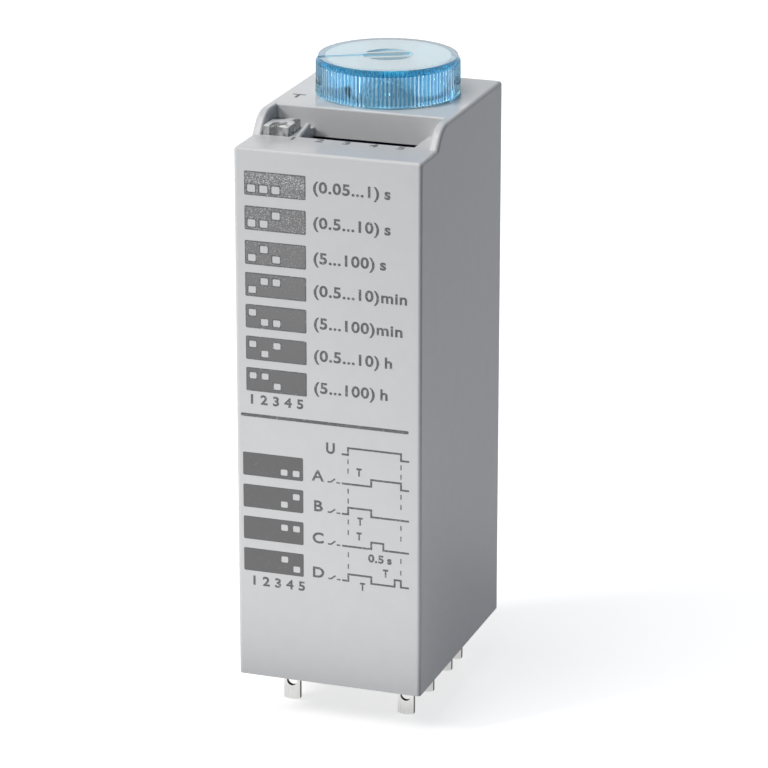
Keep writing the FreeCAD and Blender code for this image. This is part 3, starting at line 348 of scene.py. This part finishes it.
def printed_ink(name, thin_from=None):
    """Pad-printed ink: matt grey. Where thin_from gives the lip's height, the ink thins out towards it, and
    the plastic shows through and as pale specks."""
    looks = settings().finishes
    material, tree, shader = start_material(name, {"Roughness": 0.55})
    speck_spacing, bare, covered = 0.1, 0.44, 0.58
    thickness, body = 0.2, 1
    if thin_from is not None:
        height = object_axes(tree)["Z"]
        thickness = add_node(tree, RANGE, {"Value": height, "To Min": 0.3, "To Max": 0.09,
                                           "From Min": thin_from - 17 * MM, "From Max": thin_from - 3 * MM})
        body = add_node(tree, RANGE, {"Value": height, "To Min": 0.97, "To Max": 0.85,
                                      "From Min": thin_from - 32 * MM, "From Max": thin_from - 12 * MM})
    cover = add_node(tree, MATH, {0: grain(tree, speck_spacing, 1), 1: thickness}, operation="ADD")
    mask = add_node(tree, RANGE, {"Value": cover, "From Min": bare, "From Max": covered, "To Max": body})
    mixed = add_node(tree, MIX, {"Factor": mask, "A": looks.case, "B": looks.ink}, data_type="RGBA")
    fill(shader, {"Base Color": mixed})
    return material


def cap_zones(tree, low, high):
    """Masks of a serrated cap: the skirt's grooves for painted shade, the bevel's facets for a painted deeper
    blue, the flat top, the haze in it and the ceiling of the hollow."""
    middle, radius = (low + high) / 2, (high.x - low.x) / 2
    bevel_start, top_start = high.z - 0.6 * MM, high.z - 0.4 * MM
    ceiling_height, ceiling_room = high.z - 0.85 * MM, 0.03 * MM
    skirt_taper, bevel_inset, tooth_room = 0.05 * MM, 0.28 * MM, 0.38 * MM
    groove_start, groove_end = 0.04 * MM, 0.13 * MM
    ring_start, ring_end, haze_inside, haze_ring = 6.68 * MM, 6.76 * MM, 0.6, 0.3
    axes = object_axes(tree)
    level = add_node(tree, "ShaderNodeCombineXYZ", {"X": axes["X"], "Y": axes["Y"]})
    axis = (middle.x, middle.y, 0)
    away = add_node(tree, "ShaderNodeVectorMath", {0: level, 1: axis}, operation="DISTANCE")
    skirt = add_node(tree, RANGE, {"Value": axes["Z"], "From Min": low.z, "From Max": bevel_start,
                                   "To Min": radius, "To Max": radius - skirt_taper})
    bevel = add_node(tree, RANGE, {"Value": axes["Z"], "From Min": bevel_start, "From Max": high.z,
                                   "To Max": bevel_inset})
    crest = add_node(tree, MATH, {0: skirt, 1: bevel}, operation="SUBTRACT")
    depth = add_node(tree, MATH, {0: crest, 1: away}, operation="SUBTRACT")
    groove = add_node(tree, RANGE, {"Value": depth, "From Min": groove_start, "From Max": groove_end})
    outside = add_node(tree, MATH, {0: away, 1: radius - tooth_room}, operation="GREATER_THAN")
    upper = add_node(tree, MATH, {0: axes["Z"], 1: bevel_start}, operation="GREATER_THAN")
    # Clamped, a mask less another is the first one without the second
    side = add_node(tree, MATH, {0: outside, 1: upper}, operation="SUBTRACT", use_clamp=True)
    painted_groove_shade = add_node(tree, MATH, {0: groove, 1: side}, operation="MULTIPLY")
    rim = add_node(tree, MATH, {0: upper, 1: outside}, operation="MULTIPLY")
    painted_bevel_blue = add_node(tree, MATH, {0: rim, 1: groove}, operation="SUBTRACT", use_clamp=True)
    highest = add_node(tree, MATH, {0: axes["Z"], 1: top_start}, operation="GREATER_THAN")
    top = add_node(tree, MATH, {0: highest, 1: outside}, operation="SUBTRACT", use_clamp=True)
    strength = add_node(tree, RANGE, {"Value": away, "From Min": ring_start, "From Max": ring_end,
                                      "To Min": haze_inside, "To Max": haze_ring})
    haze = add_node(tree, MATH, {0: strength, 1: top}, operation="MULTIPLY")
    ceiling = add_node(tree, MATH, {0: axes["Z"], 1: ceiling_height, 2: ceiling_room}, operation="COMPARE")
    return painted_groove_shade, painted_bevel_blue, top, haze, ceiling


def clear_serrated_cap(name, rgb, density, ior, low, high):
    """Clear plastic of a serrated cap: colour builds up along the light's way, the grooves get painted shade
    and the bevel between them a painted deeper blue, the ceiling is matt and the top hazy inside a polished
    ring."""
    polished, matt, ceiling_cloud = 0.02, 0.25, 0.12
    material, tree, shader = start_material(name, {"IOR": ior})
    volume = add_node(tree, "ShaderNodeVolumeAbsorption", {"Color": rgb, "Density": density})
    fill(tree.nodes["Material Output"], {"Volume": volume})
    painted_groove_shade, painted_bevel_blue, top, haze, ceiling = cap_zones(tree, low, high)
    # Painted shade darkens the grooves and a painted deeper blue lies on the bevel, standing in for light
    # that the teeth bend and guide
    body = linear("#FFFFFF")
    for zone, code in ((top, "#EEFCFF"), (painted_groove_shade, "#4590C5"), (painted_bevel_blue, "#27DDFF")):
        body = add_node(tree, MIX, {"Factor": zone, "A": body, "B": linear(code)}, data_type="RGBA")
    gloss = add_node(tree, RANGE, {"Value": ceiling, "To Min": polished, "To Max": matt})
    cloudy = add_node(tree, MATH, {0: ceiling, 1: ceiling_cloud, 2: haze}, operation="MULTIPLY_ADD")
    clear = add_node(tree, MATH, {0: 1, 1: cloudy}, operation="SUBTRACT")
    fill(shader, {"Base Color": body, "Roughness": gloss, "Transmission Weight": clear})
    return material


def swirled_epoxy(name, rgb, ior, top):
    """Cast epoxy: streaked and clear at the sides, with a milky skin on top that clear swirls break."""
    skin_start, skin_end = top - 0.12 * MM, top - 0.04 * MM
    material, tree, shader = start_material(name, {"Base Color": rgb, "Roughness": 0.04, "IOR": ior})
    height = object_axes(tree)["Z"]
    skin = add_node(tree, RANGE, {"Value": height, "From Min": skin_start, "From Max": skin_end})
    swirls = add_node(tree, RANGE, {"Value": grain(tree, 1.1, 1, (1, 0.7, 0.45)), "From Min": 0.5,
                                    "From Max": 0.6, "To Min": 0.1, "To Max": 0.95})
    streaks = add_node(tree, RANGE, {"Value": grain(tree, 0.55, 1, (1, 1, 0.2)), "From Min": 0.4,
                                     "From Max": 0.62, "To Min": 0.5, "To Max": 0.95})
    clear = add_node(tree, MIX, {"Factor": skin, "A": streaks, "B": swirls})
    fill(shader, {"Transmission Weight": clear})
    return material


# Pieces

def only(*objects):
    """Deselect everything, then select these objects, the first one active."""
    if bpy.context.object and bpy.context.object.mode != "OBJECT":
        bpy.ops.object.mode_set(mode="OBJECT")
    bpy.ops.object.select_all(action="DESELECT")
    for item in objects:
        item.select_set(True)
    bpy.context.view_layer.objects.active = objects[0] if objects else None


def wear(material, *nodes):
    """Give CAD nodes or pieces this material in place of their own."""
    for node in nodes:
        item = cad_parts[node] if isinstance(node, str) else node
        item.data.materials.clear()
        item.data.materials.append(material)


def numbered(stem, count):
    """Names of a row of like nodes or pieces."""
    return [f"{stem}_{i + 1}" for i in range(count)]


def join(name, pieces):
    """Join pieces to one object of that name."""
    only(*pieces)
    if len(pieces) > 1:
        bpy.ops.object.join()
    piece = bpy.context.object
    piece.name = name
    piece.data.name = name
    return piece


def flat_shape(outlines, height):
    """Mesh of closed outlines in the XY plane, inner ones as holes, with this thickness to both sides."""
    curve = bpy.data.curves.new("outline", "CURVE")
    curve.dimensions = "2D"
    curve.fill_mode = "BOTH"
    curve.extrude = height
    for points in outlines:
        spline = curve.splines.new("POLY")
        spline.points.add(len(points) - 1)
        for point, (x, y) in zip(spline.points, points):
            point.co = (x, y, 0, 1)
        spline.use_cyclic_u = True
    piece = bpy.data.objects.new("outline", curve)
    bpy.context.collection.objects.link(piece)
    only(piece)
    bpy.ops.object.convert(target="MESH")
    return bpy.context.object


def flat_text(words, tall, x, y, height, align="CENTER", stretch=1, spacing=1):
    """Mesh of a text in the XY plane: its figures are as tall as given and centred on y."""
    only()
    bpy.ops.object.text_add(location=(x, y - tall / 2, 0))
    piece = bpy.context.object
    piece.data.body = words
    piece.data.size = tall / FIGURE_SHARE
    piece.data.align_x = align
    piece.data.space_character = spacing
    piece.data.space_word = WORD_GAP
    piece.data.resolution_u = 4
    piece.data.extrude = height
    piece.scale.x = stretch
    bpy.ops.object.convert(target="MESH")
    bpy.ops.object.transform_apply()
    fatten(bpy.context.object, INK_SPREAD, height)
    return bpy.context.object


def fatten(piece, extra, height):
    """Thicken a flat text's strokes by extra on each side and keep its own thickness."""
    only(piece)
    bpy.ops.object.mode_set(mode="EDIT")
    bpy.ops.mesh.select_all(action="SELECT")
    bpy.ops.mesh.remove_doubles(threshold=0.0005 * MM)
    bpy.ops.transform.shrink_fatten(value=extra, use_even_offset=True)
    bpy.ops.object.mode_set(mode="OBJECT")
    for vertex in piece.data.vertices:
        vertex.co.z = math.copysign(height, vertex.co.z)


def rectangle(left, top, wide, tall, radius=0):
    """Outline of an upright rectangle whose top runs at minus top, with corners of this radius."""
    per_corner = 4 if radius else 1
    right, bottom = left + wide - radius, radius - top - tall
    left, upper = left + radius, -top - radius
    corners = ((left, upper), (right, upper), (right, bottom), (left, bottom))
    points = []
    for quarter, (x, y) in enumerate(corners):
        for i in range(per_corner):
            angle = math.pi - (quarter + i / max(per_corner - 1, 1)) * math.pi / 2
            points.append((x + radius * math.cos(angle), y + radius * math.sin(angle)))
    return points


def stroke(points, wide):
    """Outline of a line of this width along points, with mitred corners."""
    path = [Vector(p) for p in points]
    runs = [(b - a).normalized() for a, b in zip(path, path[1:])]
    sides = [Vector((-run.y, run.x)) for run in runs]
    offsets = [sides[0] * wide / 2]
    for one, two in zip(sides, sides[1:]):
        offsets.append((one + two) * (wide / 2 / (1 + one.dot(two))))
    offsets.append(sides[-1] * wide / 2)
    left = [tuple(p + o) for p, o in zip(path, offsets)]
    right = [tuple(p - o) for p, o in zip(path, offsets)]
    return left + right[::-1]


def steps(chart, base, changes):
    """Points of a timing trace at this base line that goes up or down at each change."""
    level = -base
    points = [(chart.trace_start, level)]
    for place, rises in changes:
        points.append((place, level))
        level += chart.trace_rise if rises else -chart.trace_rise
        points.append((place, level))
    return points + [(chart.trace_end, level)]


def row_top(chart, row, pitch):
    """Top of a time range's row at this pitch."""
    return chart.first_row + row * pitch + min(row, WIDE_GAPS) * chart.seconds_extra


def bits(code, count):
    """Binary digits of a code, the highest first."""
    return [code >> i & 1 for i in reversed(range(count))]


def print_on_front(name, pieces, ink):
    """Join flat pieces, turn them onto the cover's front, hung from lip and left edge, and ink them."""
    piece = join(name, pieces)
    low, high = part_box("case_cover")
    piece.matrix_world = (Matrix.Translation((low.x, low.y, high.z - settings().chart.lip_drop))
                          @ Matrix.Rotation(math.pi / 2, 4, "X"))
    bpy.ops.object.transform_apply()
    wear(ink, piece)
    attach(piece, "case")


class RELAY_OT_finish_case(bpy.types.Operator):
    """Give the cover and the terminal base their moulded plastics"""

    bl_idname = "relay.finish_case"
    bl_label = "Finish case"

    def execute(self, context):
        looks = settings().finishes
        # Satin moulded ABS: soft even grey, clear reflections only at a low angle. The mould's texture is
        # drawn coarser than it is, so that it shows
        wear(moulded("satin_moulded_abs", looks.case, looks.case_roughness, looks.case_grain / MM, IOR=1.44),
             "case_cover")
        # Glass-filled polyester: deep black, dull, with pale fibre specks
        wear(moulded("glass_filled_polyester", looks.base, roughness=0.5, spacing=0.3, depth=0.25,
                     height=0.01, cloud=0.5), "terminal_base")
        return {"FINISHED"}


class RELAY_OT_print_boxes(bpy.types.Operator):
    """Print the boxes that show the switch places for each time range and function"""

    bl_idname = "relay.print_boxes"
    bl_label = "Print boxes"

    def execute(self, context):
        chart = settings().chart
        edge, corner = chart.frame_width, chart.corner_radius
        boxes, edges = [], []
        for row in range(len(TIME_RANGES)):
            top = row_top(chart, row, chart.row_pitch)
            box = (chart.box_left, top, chart.box_width, chart.box_height)
            boxes.append(rectangle(*box, corner))
            edges += [rectangle(*box, corner), rectangle(*self.grown(box, -edge), corner)]
            # The windows shrink from row to row, to the lower boxes' size
            size = 1 - (1 - chart.lower_window) * row / (len(TIME_RANGES) - 1)
            # The first switches count the rows in binary, a high window for one
            for switch, high in enumerate(bits(row, RANGE_SWITCHES)):
                window = self.window(chart, chart.column + switch * chart.column_pitch, top, high, size)
                boxes.append(rectangle(*window, corner))
                edges += [rectangle(*self.grown(window, edge), corner), rectangle(*window, corner)]
        for row in range(len(FUNCTIONS)):
            top = chart.lower_row + row * chart.lower_pitch
            boxes.append(rectangle(chart.lower_left, top, chart.box_width, chart.box_height, corner))
            # The last switches follow a Gray code
            for switch, high in enumerate(bits(row ^ row >> 1, FUNCTION_SWITCHES)):
                window = self.window(chart, chart.lower_column + switch * chart.column_pitch, top, high,
                                     chart.lower_window)
                boxes.append(rectangle(*window, corner))
        # Pad-printed grey ink, thin and speckled in the upper boxes
        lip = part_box("case_cover")[1].z - chart.lip_drop
        print_on_front("switch_place_boxes", [flat_shape(boxes, chart.ink_height)],
                       printed_ink("thin_pad_print", lip))
        # Pad-printed grey ink, gathered along the edges: matt and even
        print_on_front("switch_place_edges", [flat_shape(edges, chart.edge_height)],
                       printed_ink("gathered_pad_print"))
        return {"FINISHED"}

    def grown(self, box, extra):
        """A box as left, top, width and height, grown by extra on each side."""
        left, top, wide, tall = box
        return left - extra, top - extra, wide + 2 * extra, tall + 2 * extra

    def window(self, chart, middle, top, high, size):
        """A window in a box, in the high or the low row, as left, top, width and height."""
        drop = chart.window_high if high else chart.window_low
        wide, tall = chart.window_width * size, chart.window_height * size
        return middle - wide / 2, top + drop - tall / 2, wide, tall


class RELAY_OT_print_chart(bpy.types.Operator):
    """Print the chart's figures, letters, rule and timing traces on the front"""

    bl_idname = "relay.print_chart"
    bl_label = "Print chart"

    def execute(self, context):
        chart = settings().chart
        pieces = self.upper_texts(chart) + self.lower_texts(chart)
        pieces.append(flat_shape(self.lines(chart), chart.ink_height))
        # Pad-printed grey ink: matt and even
        print_on_front("printed_chart", pieces, printed_ink("pad_print"))
        return {"FINISHED"}

    def text(self, chart, words, tall, x, drop, align="CENTER", narrow=1):
        """One printed text at x, centred at this drop below the lip."""
        return flat_text(words, tall, x, -drop, chart.ink_height, align, chart.letter_stretch * narrow,
                         chart.letter_spacing)

    def figures(self, chart, first, drop):
        """The row of switch numbers under a group of boxes."""
        return [self.text(chart, str(switch), chart.switch_height, first + i * chart.column_pitch, drop)
                for i, switch in enumerate(SWITCHES)]

    def upper_texts(self, chart):
        """Time ranges and the first row of switch numbers."""
        made = []
        for row, words in enumerate(TIME_RANGES):
            drop = row_top(chart, row, chart.text_pitch) + chart.box_height / 2 - chart.text_rise
            made.append(self.text(chart, words, chart.figure_height, chart.range_left, drop, "LEFT"))
        return made + self.figures(chart, chart.upper_figures_left, chart.upper_figures)

    def lower_texts(self, chart):
        """Letters of the functions and traces, and the second row of switch numbers."""
        made = [self.text(chart, "U", chart.figure_height, *SUPPLY_LETTER, narrow=chart.narrow_supply),
                self.text(chart, "0.5 s", chart.small_height, *PULSE_TEXT)]
        for letter, base in zip(FUNCTIONS, TRACE_BASES):
            made.append(self.text(chart, letter, chart.figure_height, chart.function_column,
                                  base - chart.function_rise))
        for place in TIME_LETTERS:
            made.append(self.text(chart, "T", chart.small_height, *place, narrow=chart.narrow_sign))
        return made + self.figures(chart, chart.lower_figures_left, chart.lower_figures)

    def lines(self, chart):
        """Outlines of the rule, the traces, the contact signs and the dashed time lines."""
        on, off, time = chart.trace_on, chart.trace_off, chart.trace_time
        found = [rectangle(chart.rule_left, chart.rule_drop - chart.rule_width / 2,
                           chart.rule_right - chart.rule_left, chart.rule_width,
                           chart.rule_width * RULE_ROUNDING)]
        found.append(stroke(steps(chart, SUPPLY_BASE, ((on, True), (off, False))), chart.trace_width))
        changes = (((time, True), (off, False)),
                   ((on, True), (time, False)),
                   ((time, True), (chart.trace_pulse, False)),
                   ((on, True), (time, False), (chart.trace_blink, True), (off, False)))
        for base, change in zip(TRACE_BASES, changes):
            found.append(stroke(steps(chart, base, change), chart.trace_width))
            found += self.contact(chart, base)
        return found + self.dashes(chart)

    def dashes(self, chart):
        """Outlines of the two dashed lines, with two dashes between each pair of traces."""
        wide, tall = chart.dash_width, chart.dash_height
        found = []
        for above, below in zip([SUPPLY_BASE] + TRACE_BASES, TRACE_BASES):
            room = below - chart.trace_rise - above
            for place in (chart.trace_on, chart.trace_off):
                for part in DASH_PLACES:
                    found.append(rectangle(place - wide / 2, above + room * part - tall / 2, wide, tall))
        return found

    def contact(self, chart, base):
        """Outlines of an open contact's sign: a lifted blade and a short fixed end."""
        thin = chart.trace_width * CONTACT_SHARE
        left, hinge, tip, fixed, right = CONTACT_PLACES
        blade = [(left, -base), (hinge, -base), (tip, CONTACT_LIFT - base)]
        return [stroke(blade, thin), stroke([(fixed, -base), (right, -base)], thin)]


class RELAY_OT_print_top(bpy.types.Operator):
    """Print the switch numbers on the lip and the letter beside the knob"""

    bl_idname = "relay.print_top"
    bl_label = "Print top"

    def execute(self, context):
        chart, marks = settings().chart, settings().top_marks
        low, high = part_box("case_cover")
        lip = high.z - chart.lip_drop
        texts = [(str(switch), marks.figure_height, marks.figure_left + i * marks.figure_pitch,
                  low.y + marks.figure_back, lip) for i, switch in enumerate(SWITCHES)]
        texts.append(("T", marks.sign_height, marks.sign_left, low.y + marks.sign_back, high.z))
        pieces = []
        for words, tall, x, y, z in texts:
            piece = flat_text(words, tall, x, y, chart.ink_height, stretch=marks.letter_stretch)
            piece.location.z = z
            bpy.ops.object.transform_apply()
            pieces.append(piece)
        piece = join("printed_top_marks", pieces)
        # Pad-printed grey ink: matt and even
        wear(printed_ink("pad_print_on_top"), piece)
        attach(piece, "case")
        return {"FINISHED"}


class RELAY_OT_finish_knob(bpy.types.Operator):
    """Give the knob its clear blue plastic"""

    bl_idname = "relay.finish_knob"
    bl_label = "Finish knob"

    def execute(self, context):
        low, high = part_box("knob")
        # Clear tinted polycarbonate: nearly colourless through the thin top, strong blue at rim and teeth
        # The stripes in the teeth are painted shade and the bevel's deeper blue is painted
        wear(clear_serrated_cap("clear_blue_polycarbonate", settings().finishes.knob_tint, density=240,
                                ior=1.55, low=low, high=high), "knob")
        return {"FINISHED"}


class RELAY_OT_cast_lamp(bpy.types.Operator):
    """Cast the lamp's clear block round its lead frame"""

    bl_idname = "relay.cast_lamp"
    bl_label = "Cast lamp"

    def execute(self, context):
        edge_round, smooth_up_to = 0.15 * MM, math.radians(40)
        low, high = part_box("led_lens")
        only()
        bpy.ops.mesh.primitive_cube_add(size=1, location=(low + high) / 2)
        piece = bpy.context.object
        piece.scale = high - low
        bpy.ops.object.transform_apply()
        piece.name = "lamp_block"
        bevel = piece.modifiers.new("edges", "BEVEL")
        bevel.width = edge_round
        bevel.segments = 3
        bevel.limit_method = "NONE"
        bpy.ops.object.modifier_apply(modifier=bevel.name)
        bpy.ops.object.shade_smooth_by_angle(angle=smooth_up_to)
        # Cast epoxy: glossy, clouded white, clear in swirls
        wear(swirled_epoxy("clouded_cast_epoxy", linear("#ECEEEE"), ior=1.53, top=high.z), piece)
        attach(piece, "case")
        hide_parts("led_lens")
        # Silvered copper: bright, with fine rolling streaks
        wear(metal("silvered_lead_frame", linear("#C9CBCB"), roughness=0.22, spacing=0.1,
                   stretch=(1, 1, 0.2)), "led_frame")
        return {"FINISHED"}


class RELAY_OT_finish_switch(bpy.types.Operator):
    """Give the slide switch its black body and white sliders"""

    bl_idname = "relay.finish_switch"
    bl_label = "Finish switch"

    def execute(self, context):
        # Moulded polyester: black and dull
        wear(moulded("black_switch_polyester", linear("#2E3235"), roughness=0.45, spacing=0.15, depth=0.15),
             "dip_body")
        # Moulded acetal: white with a soft gloss
        wear(moulded("white_acetal", linear("#E4E3DE"), roughness=0.35, spacing=0.15),
             *numbered("dip_slider", 5))
        return {"FINISHED"}


class RELAY_OT_finish_blades(bpy.types.Operator):
    """Give the plug blades their tin plate"""

    bl_idname = "relay.finish_blades"
    bl_label = "Finish blades"

    def execute(self, context):
        blades = numbered("supply_blade", 2)
        for kind in ("common", "open", "closed"):
            blades += numbered(f"{kind}_blade", 4)
        # Bright tin over rolled brass: mirror-like, fine streaks along the blade, dull where it is sheared,
        # and dark there with painted shade
        wear(sheared_strip("bright_tin_plate", settings().finishes.tin, linear("#5C5850"), roughness=0.2),
             *blades)
        return {"FINISHED"}


class RELAY_OT_finish_works(bpy.types.Operator):
    """Give the electromagnet, the contacts and the electronics their finishes"""

    bl_idname = "relay.finish_works"
    bl_label = "Finish works"

    def execute(self, context):
        self.electromagnet()
        self.electronics()
        return {"FINISHED"}

    def electromagnet(self):
        """Finishes of the coil, the iron, the springs and the contacts."""
        # Natural nylon: ivory and waxy
        wear(moulded("natural_nylon", linear("#DAD4C4"), roughness=0.4, spacing=0.2),
             "coil_bobbin", "contact_carrier")
        # Enamelled copper: warm and glossy, its turns as fine rings up the coil
        wear(metal("enamelled_copper", linear("#B8642F"), roughness=0.3, spacing=0.15,
                   stretch=(0.05, 0.05, 1), depth=0.25, height=0.02),
             "coil_winding", "coil_leads", *numbered("flexible_lead", 4))
        # Zinc-plated soft iron: pale blue-grey, faintly mottled
        wear(metal("zinc_plated_iron", linear("#B9BDC2"), roughness=0.35, spacing=0.6),
             "coil_core", "yoke", "pole_piece", "armature")
        # Rolled phosphor bronze: warm with streaks along the leaf
        wear(metal("phosphor_bronze", linear("#C9985B"), roughness=0.28, spacing=0.1, stretch=(1, 1, 0.1)),
             "return_spring", *numbered("moving_spring", 4))
        # Silver alloy: white and soft
        wear(metal("silver_alloy", linear("#E6E4DF"), roughness=0.3, spacing=0.2),
             "fixed_contacts", "moving_contacts")

    def electronics(self):
        """Finishes of the boards and what stands on them."""
        # Solder mask over glass cloth: green with the cloth's faint unevenness
        wear(moulded("green_solder_mask", linear("#1F6B3C"), roughness=0.3, spacing=0.4, depth=0.12),
             "power_board", "control_board")
        # Tinned brass: bright
        wear(metal("tinned_brass", linear("#D2D2D0"), roughness=0.25, spacing=0.15, stretch=(1, 1, 0.2)),
             "board_link_pins")
        # Shrunk sleeve: dark and glossy
        wear(moulded("shrunk_sleeve", linear("#26303F"), roughness=0.25, spacing=0.5, depth=0.1),
             "smoothing_capacitor")
        # Filled epoxy case: matt yellow
        wear(moulded("yellow_epoxy_case", linear("#D8A62A"), roughness=0.45, spacing=0.25, depth=0.08),
             "film_capacitor")
        # Moulding epoxy: matt black with pale filler specks
        wear(moulded("black_moulding_epoxy", linear("#232323"), roughness=0.55, spacing=0.12, depth=0.3),
             "bridge_rectifier", "timing_chip", "driver_transistor")
        # Moulded polyester: dull blue
        wear(moulded("blue_polyester", linear("#2D4D86"), roughness=0.45, spacing=0.2, depth=0.08),
             "pot_body", "pot_rotor")


class RELAY_OT_flex_works(bpy.types.Operator):
    """Copy the braids and the return leaf and cut them across where they bend"""

    bl_idname = "relay.flex_works"
    bl_label = "Flex works"

    def execute(self, context):
        soldered_foot, soldered_top = 2 * MM, 4 * MM
        for node, name in zip(numbered("flexible_lead", 4), numbered("bending_braid", 4)):
            low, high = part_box(node)
            self.bend(node, name, "copper_wire", low.z + soldered_foot, high.z - soldered_top)
        # The leaf bends right above its clamped foot
        below_foot, above_foot = 0.2 * MM, 1.2 * MM
        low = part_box("return_spring")[0]
        self.bend("return_spring", "bending_return_leaf", "spring_bronze", low.z - below_foot,
                  low.z + above_foot)
        return {"FINISHED"}

    def bend(self, node, name, slot, foot, top):
        """Copy a node, cut it across in even steps from foot to top, where it bends, and hide the node."""
        piece = bpy.data.objects.new(name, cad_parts[node].data.copy())
        bpy.context.collection.objects.link(piece)
        only(piece)
        bpy.ops.object.mode_set(mode="EDIT")
        bpy.ops.mesh.select_all(action="SELECT")
        bpy.ops.mesh.remove_doubles(threshold=0.001 * MM)
        cuts = 6
        for i in range(cuts + 1):
            bpy.ops.mesh.select_all(action="SELECT")
            bpy.ops.mesh.bisect(plane_co=(0, 0, foot + (top - foot) * i / cuts), plane_no=(0, 0, 1))
        bpy.ops.object.mode_set(mode="OBJECT")
        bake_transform(piece)
        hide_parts(node)


class RELAY_OT_set_stage(bpy.types.Operator):
    """Set up the floor, the lamps, the white room and the camera"""

    bl_idname = "relay.set_stage"
    bl_label = "Set stage"

    def execute(self, context):
        stage = settings().stage
        context.scene.view_settings.view_transform = "Standard"
        self.floor(stage)
        self.room(context, stage)
        middle = Vector(stage.target)
        # Only the lamp overhead shows in glossy surfaces
        for name, way, size, power, mirrored in (("key_lamp", KEY_WAY, KEY_SIZE, stage.key_power, False),
                                                 ("top_lamp", TOP_WAY, TOP_SIZE, stage.top_power, True),
                                                 ("back_lamp", BACK_WAY, BACK_SIZE, stage.back_power, False)):
            place = middle + Vector(way).normalized() * LAMP_DISTANCE
            self.lamp(name, place, middle - place, size, power, mirrored)
        self.lamp("floor_card", Vector(CARD_PLACE), Vector((0, 0, 1)), CARD_SIZE, stage.card_power, False)
        self.camera(context, stage, middle)
        return {"FINISHED"}

    def seen(self, tree):
        """1 for rays that show the stage to the eye, straight, mirrored or through clear plastic."""
        rays = add_node(tree, "ShaderNodeLightPath").outputs
        found = rays["Is Camera Ray"]
        for kind in ("Is Glossy Ray", "Is Transmission Ray"):
            found = add_node(tree, MATH, {0: found, 1: rays[kind]}, operation="MAXIMUM")
        return found

    def floor(self, stage):
        """Pale floor that keeps the shadow, white to the eye and quiet as a reflector."""
        only()
        bpy.ops.mesh.primitive_plane_add(size=stage.floor_size)
        floor = bpy.context.object
        floor.name = "floor"
        material = bpy.data.materials.new("white_paper_floor")
        material.use_nodes = True
        tree = material.node_tree
        tree.nodes.remove(tree.nodes["Principled BSDF"])
        dim, bright = [add_node(tree, "ShaderNodeBsdfDiffuse", {"Color": linear(code)})
                       for code in ("#27303F", "#C4C4C4")]
        glow = add_node(tree, "ShaderNodeEmission", {"Strength": stage.floor_glow})
        white = add_node(tree, "ShaderNodeAddShader", {0: bright, 1: glow})
        mixed = add_node(tree, "ShaderNodeMixShader", {0: self.seen(tree), 1: dim, 2: white})
        fill(tree.nodes["Material Output"], {"Surface": mixed})
        floor.data.materials.append(material)

    def room(self, context, stage):
        """White to the eye and in reflections, weaker and bluish as light on the object."""
        world = bpy.data.worlds.new("white_room")
        context.scene.world = world
        world.use_nodes = True
        tree = world.node_tree
        soft, white = [add_node(tree, "ShaderNodeBackground", {"Color": linear(code), "Strength": strength})
                       for code, strength in (("#95C4FF", stage.ambient), ("#FFFFFF", 1))]
        mixed = add_node(tree, "ShaderNodeMixShader", {0: self.seen(tree), 1: soft, 2: white})
        fill(tree.nodes["World Output"], {"Surface": mixed})

    def lamp(self, name, place, way, size, power, mirrored):
        """Soft lamp of that width and height that shines along way, unseen itself."""
        only()
        bpy.ops.object.light_add(type="AREA", location=place)
        lamp = bpy.context.object
        lamp.name = name
        lamp.rotation_euler = way.to_track_quat("-Z", "Y").to_euler()
        lamp.data.shape = "RECTANGLE"
        lamp.data.size, lamp.data.size_y = size
        lamp.data.energy = power
        lamp.data.color = linear(LAMP_COLOUR)
        lamp.visible_camera = False
        lamp.visible_glossy = mirrored

    def camera(self, context, stage, middle):
        """Long lens at the photograph's angle."""
        only()
        level = math.cos(stage.elevation) * stage.distance
        place = middle + Vector((math.sin(stage.azimuth) * level, -math.cos(stage.azimuth) * level,
                                 math.sin(stage.elevation) * stage.distance))
        bpy.ops.object.camera_add(location=place)
        camera = bpy.context.object
        camera.rotation_euler = (middle - place).to_track_quat("-Z", "Y").to_euler()
        camera.data.lens = stage.lens
        camera.data.sensor_width = 36
        camera.data.clip_end = 10
        context.scene.camera = camera


OPERATORS = (RELAY_OT_finish_case, RELAY_OT_print_boxes, RELAY_OT_print_chart, RELAY_OT_print_top,
             RELAY_OT_finish_knob, RELAY_OT_cast_lamp, RELAY_OT_finish_switch, RELAY_OT_finish_blades,
             RELAY_OT_finish_works, RELAY_OT_flex_works, RELAY_OT_set_stage)


class RELAY_PT_sidebar(bpy.types.Panel):
    """Settings and steps of the relay"""

    bl_idname = "RELAY_PT_sidebar"
    bl_label = "Timer relay"
    bl_space_type = "VIEW_3D"
    bl_region_type = "UI"
    bl_category = "Timer relay"

    def draw(self, context):
        relay = context.scene.timer_relay
        for group in (relay.finishes, relay.chart, relay.top_marks, relay.stage):
            box = self.layout.box()
            for name in group.__annotations__:
                box.prop(group, name)
        for operator in OPERATORS:
            self.layout.operator(operator.bl_idname)


CLASSES = (RelayFinishes, RelayChart, RelayTopMarks, RelayStage, RelaySettings, *OPERATORS, RELAY_PT_sidebar)


def register():
    for item in CLASSES:
        bpy.utils.register_class(item)
    bpy.types.Scene.timer_relay = bpy.props.PointerProperty(type=RelaySettings)


def unregister():
    del bpy.types.Scene.timer_relay
    for item in reversed(CLASSES):
        bpy.utils.unregister_class(item)


def main():
    register()
    for operator in OPERATORS:
        group, name = operator.bl_idname.split(".")
        getattr(getattr(bpy.ops, group), name)()


if __name__ == "__main__":
    main()
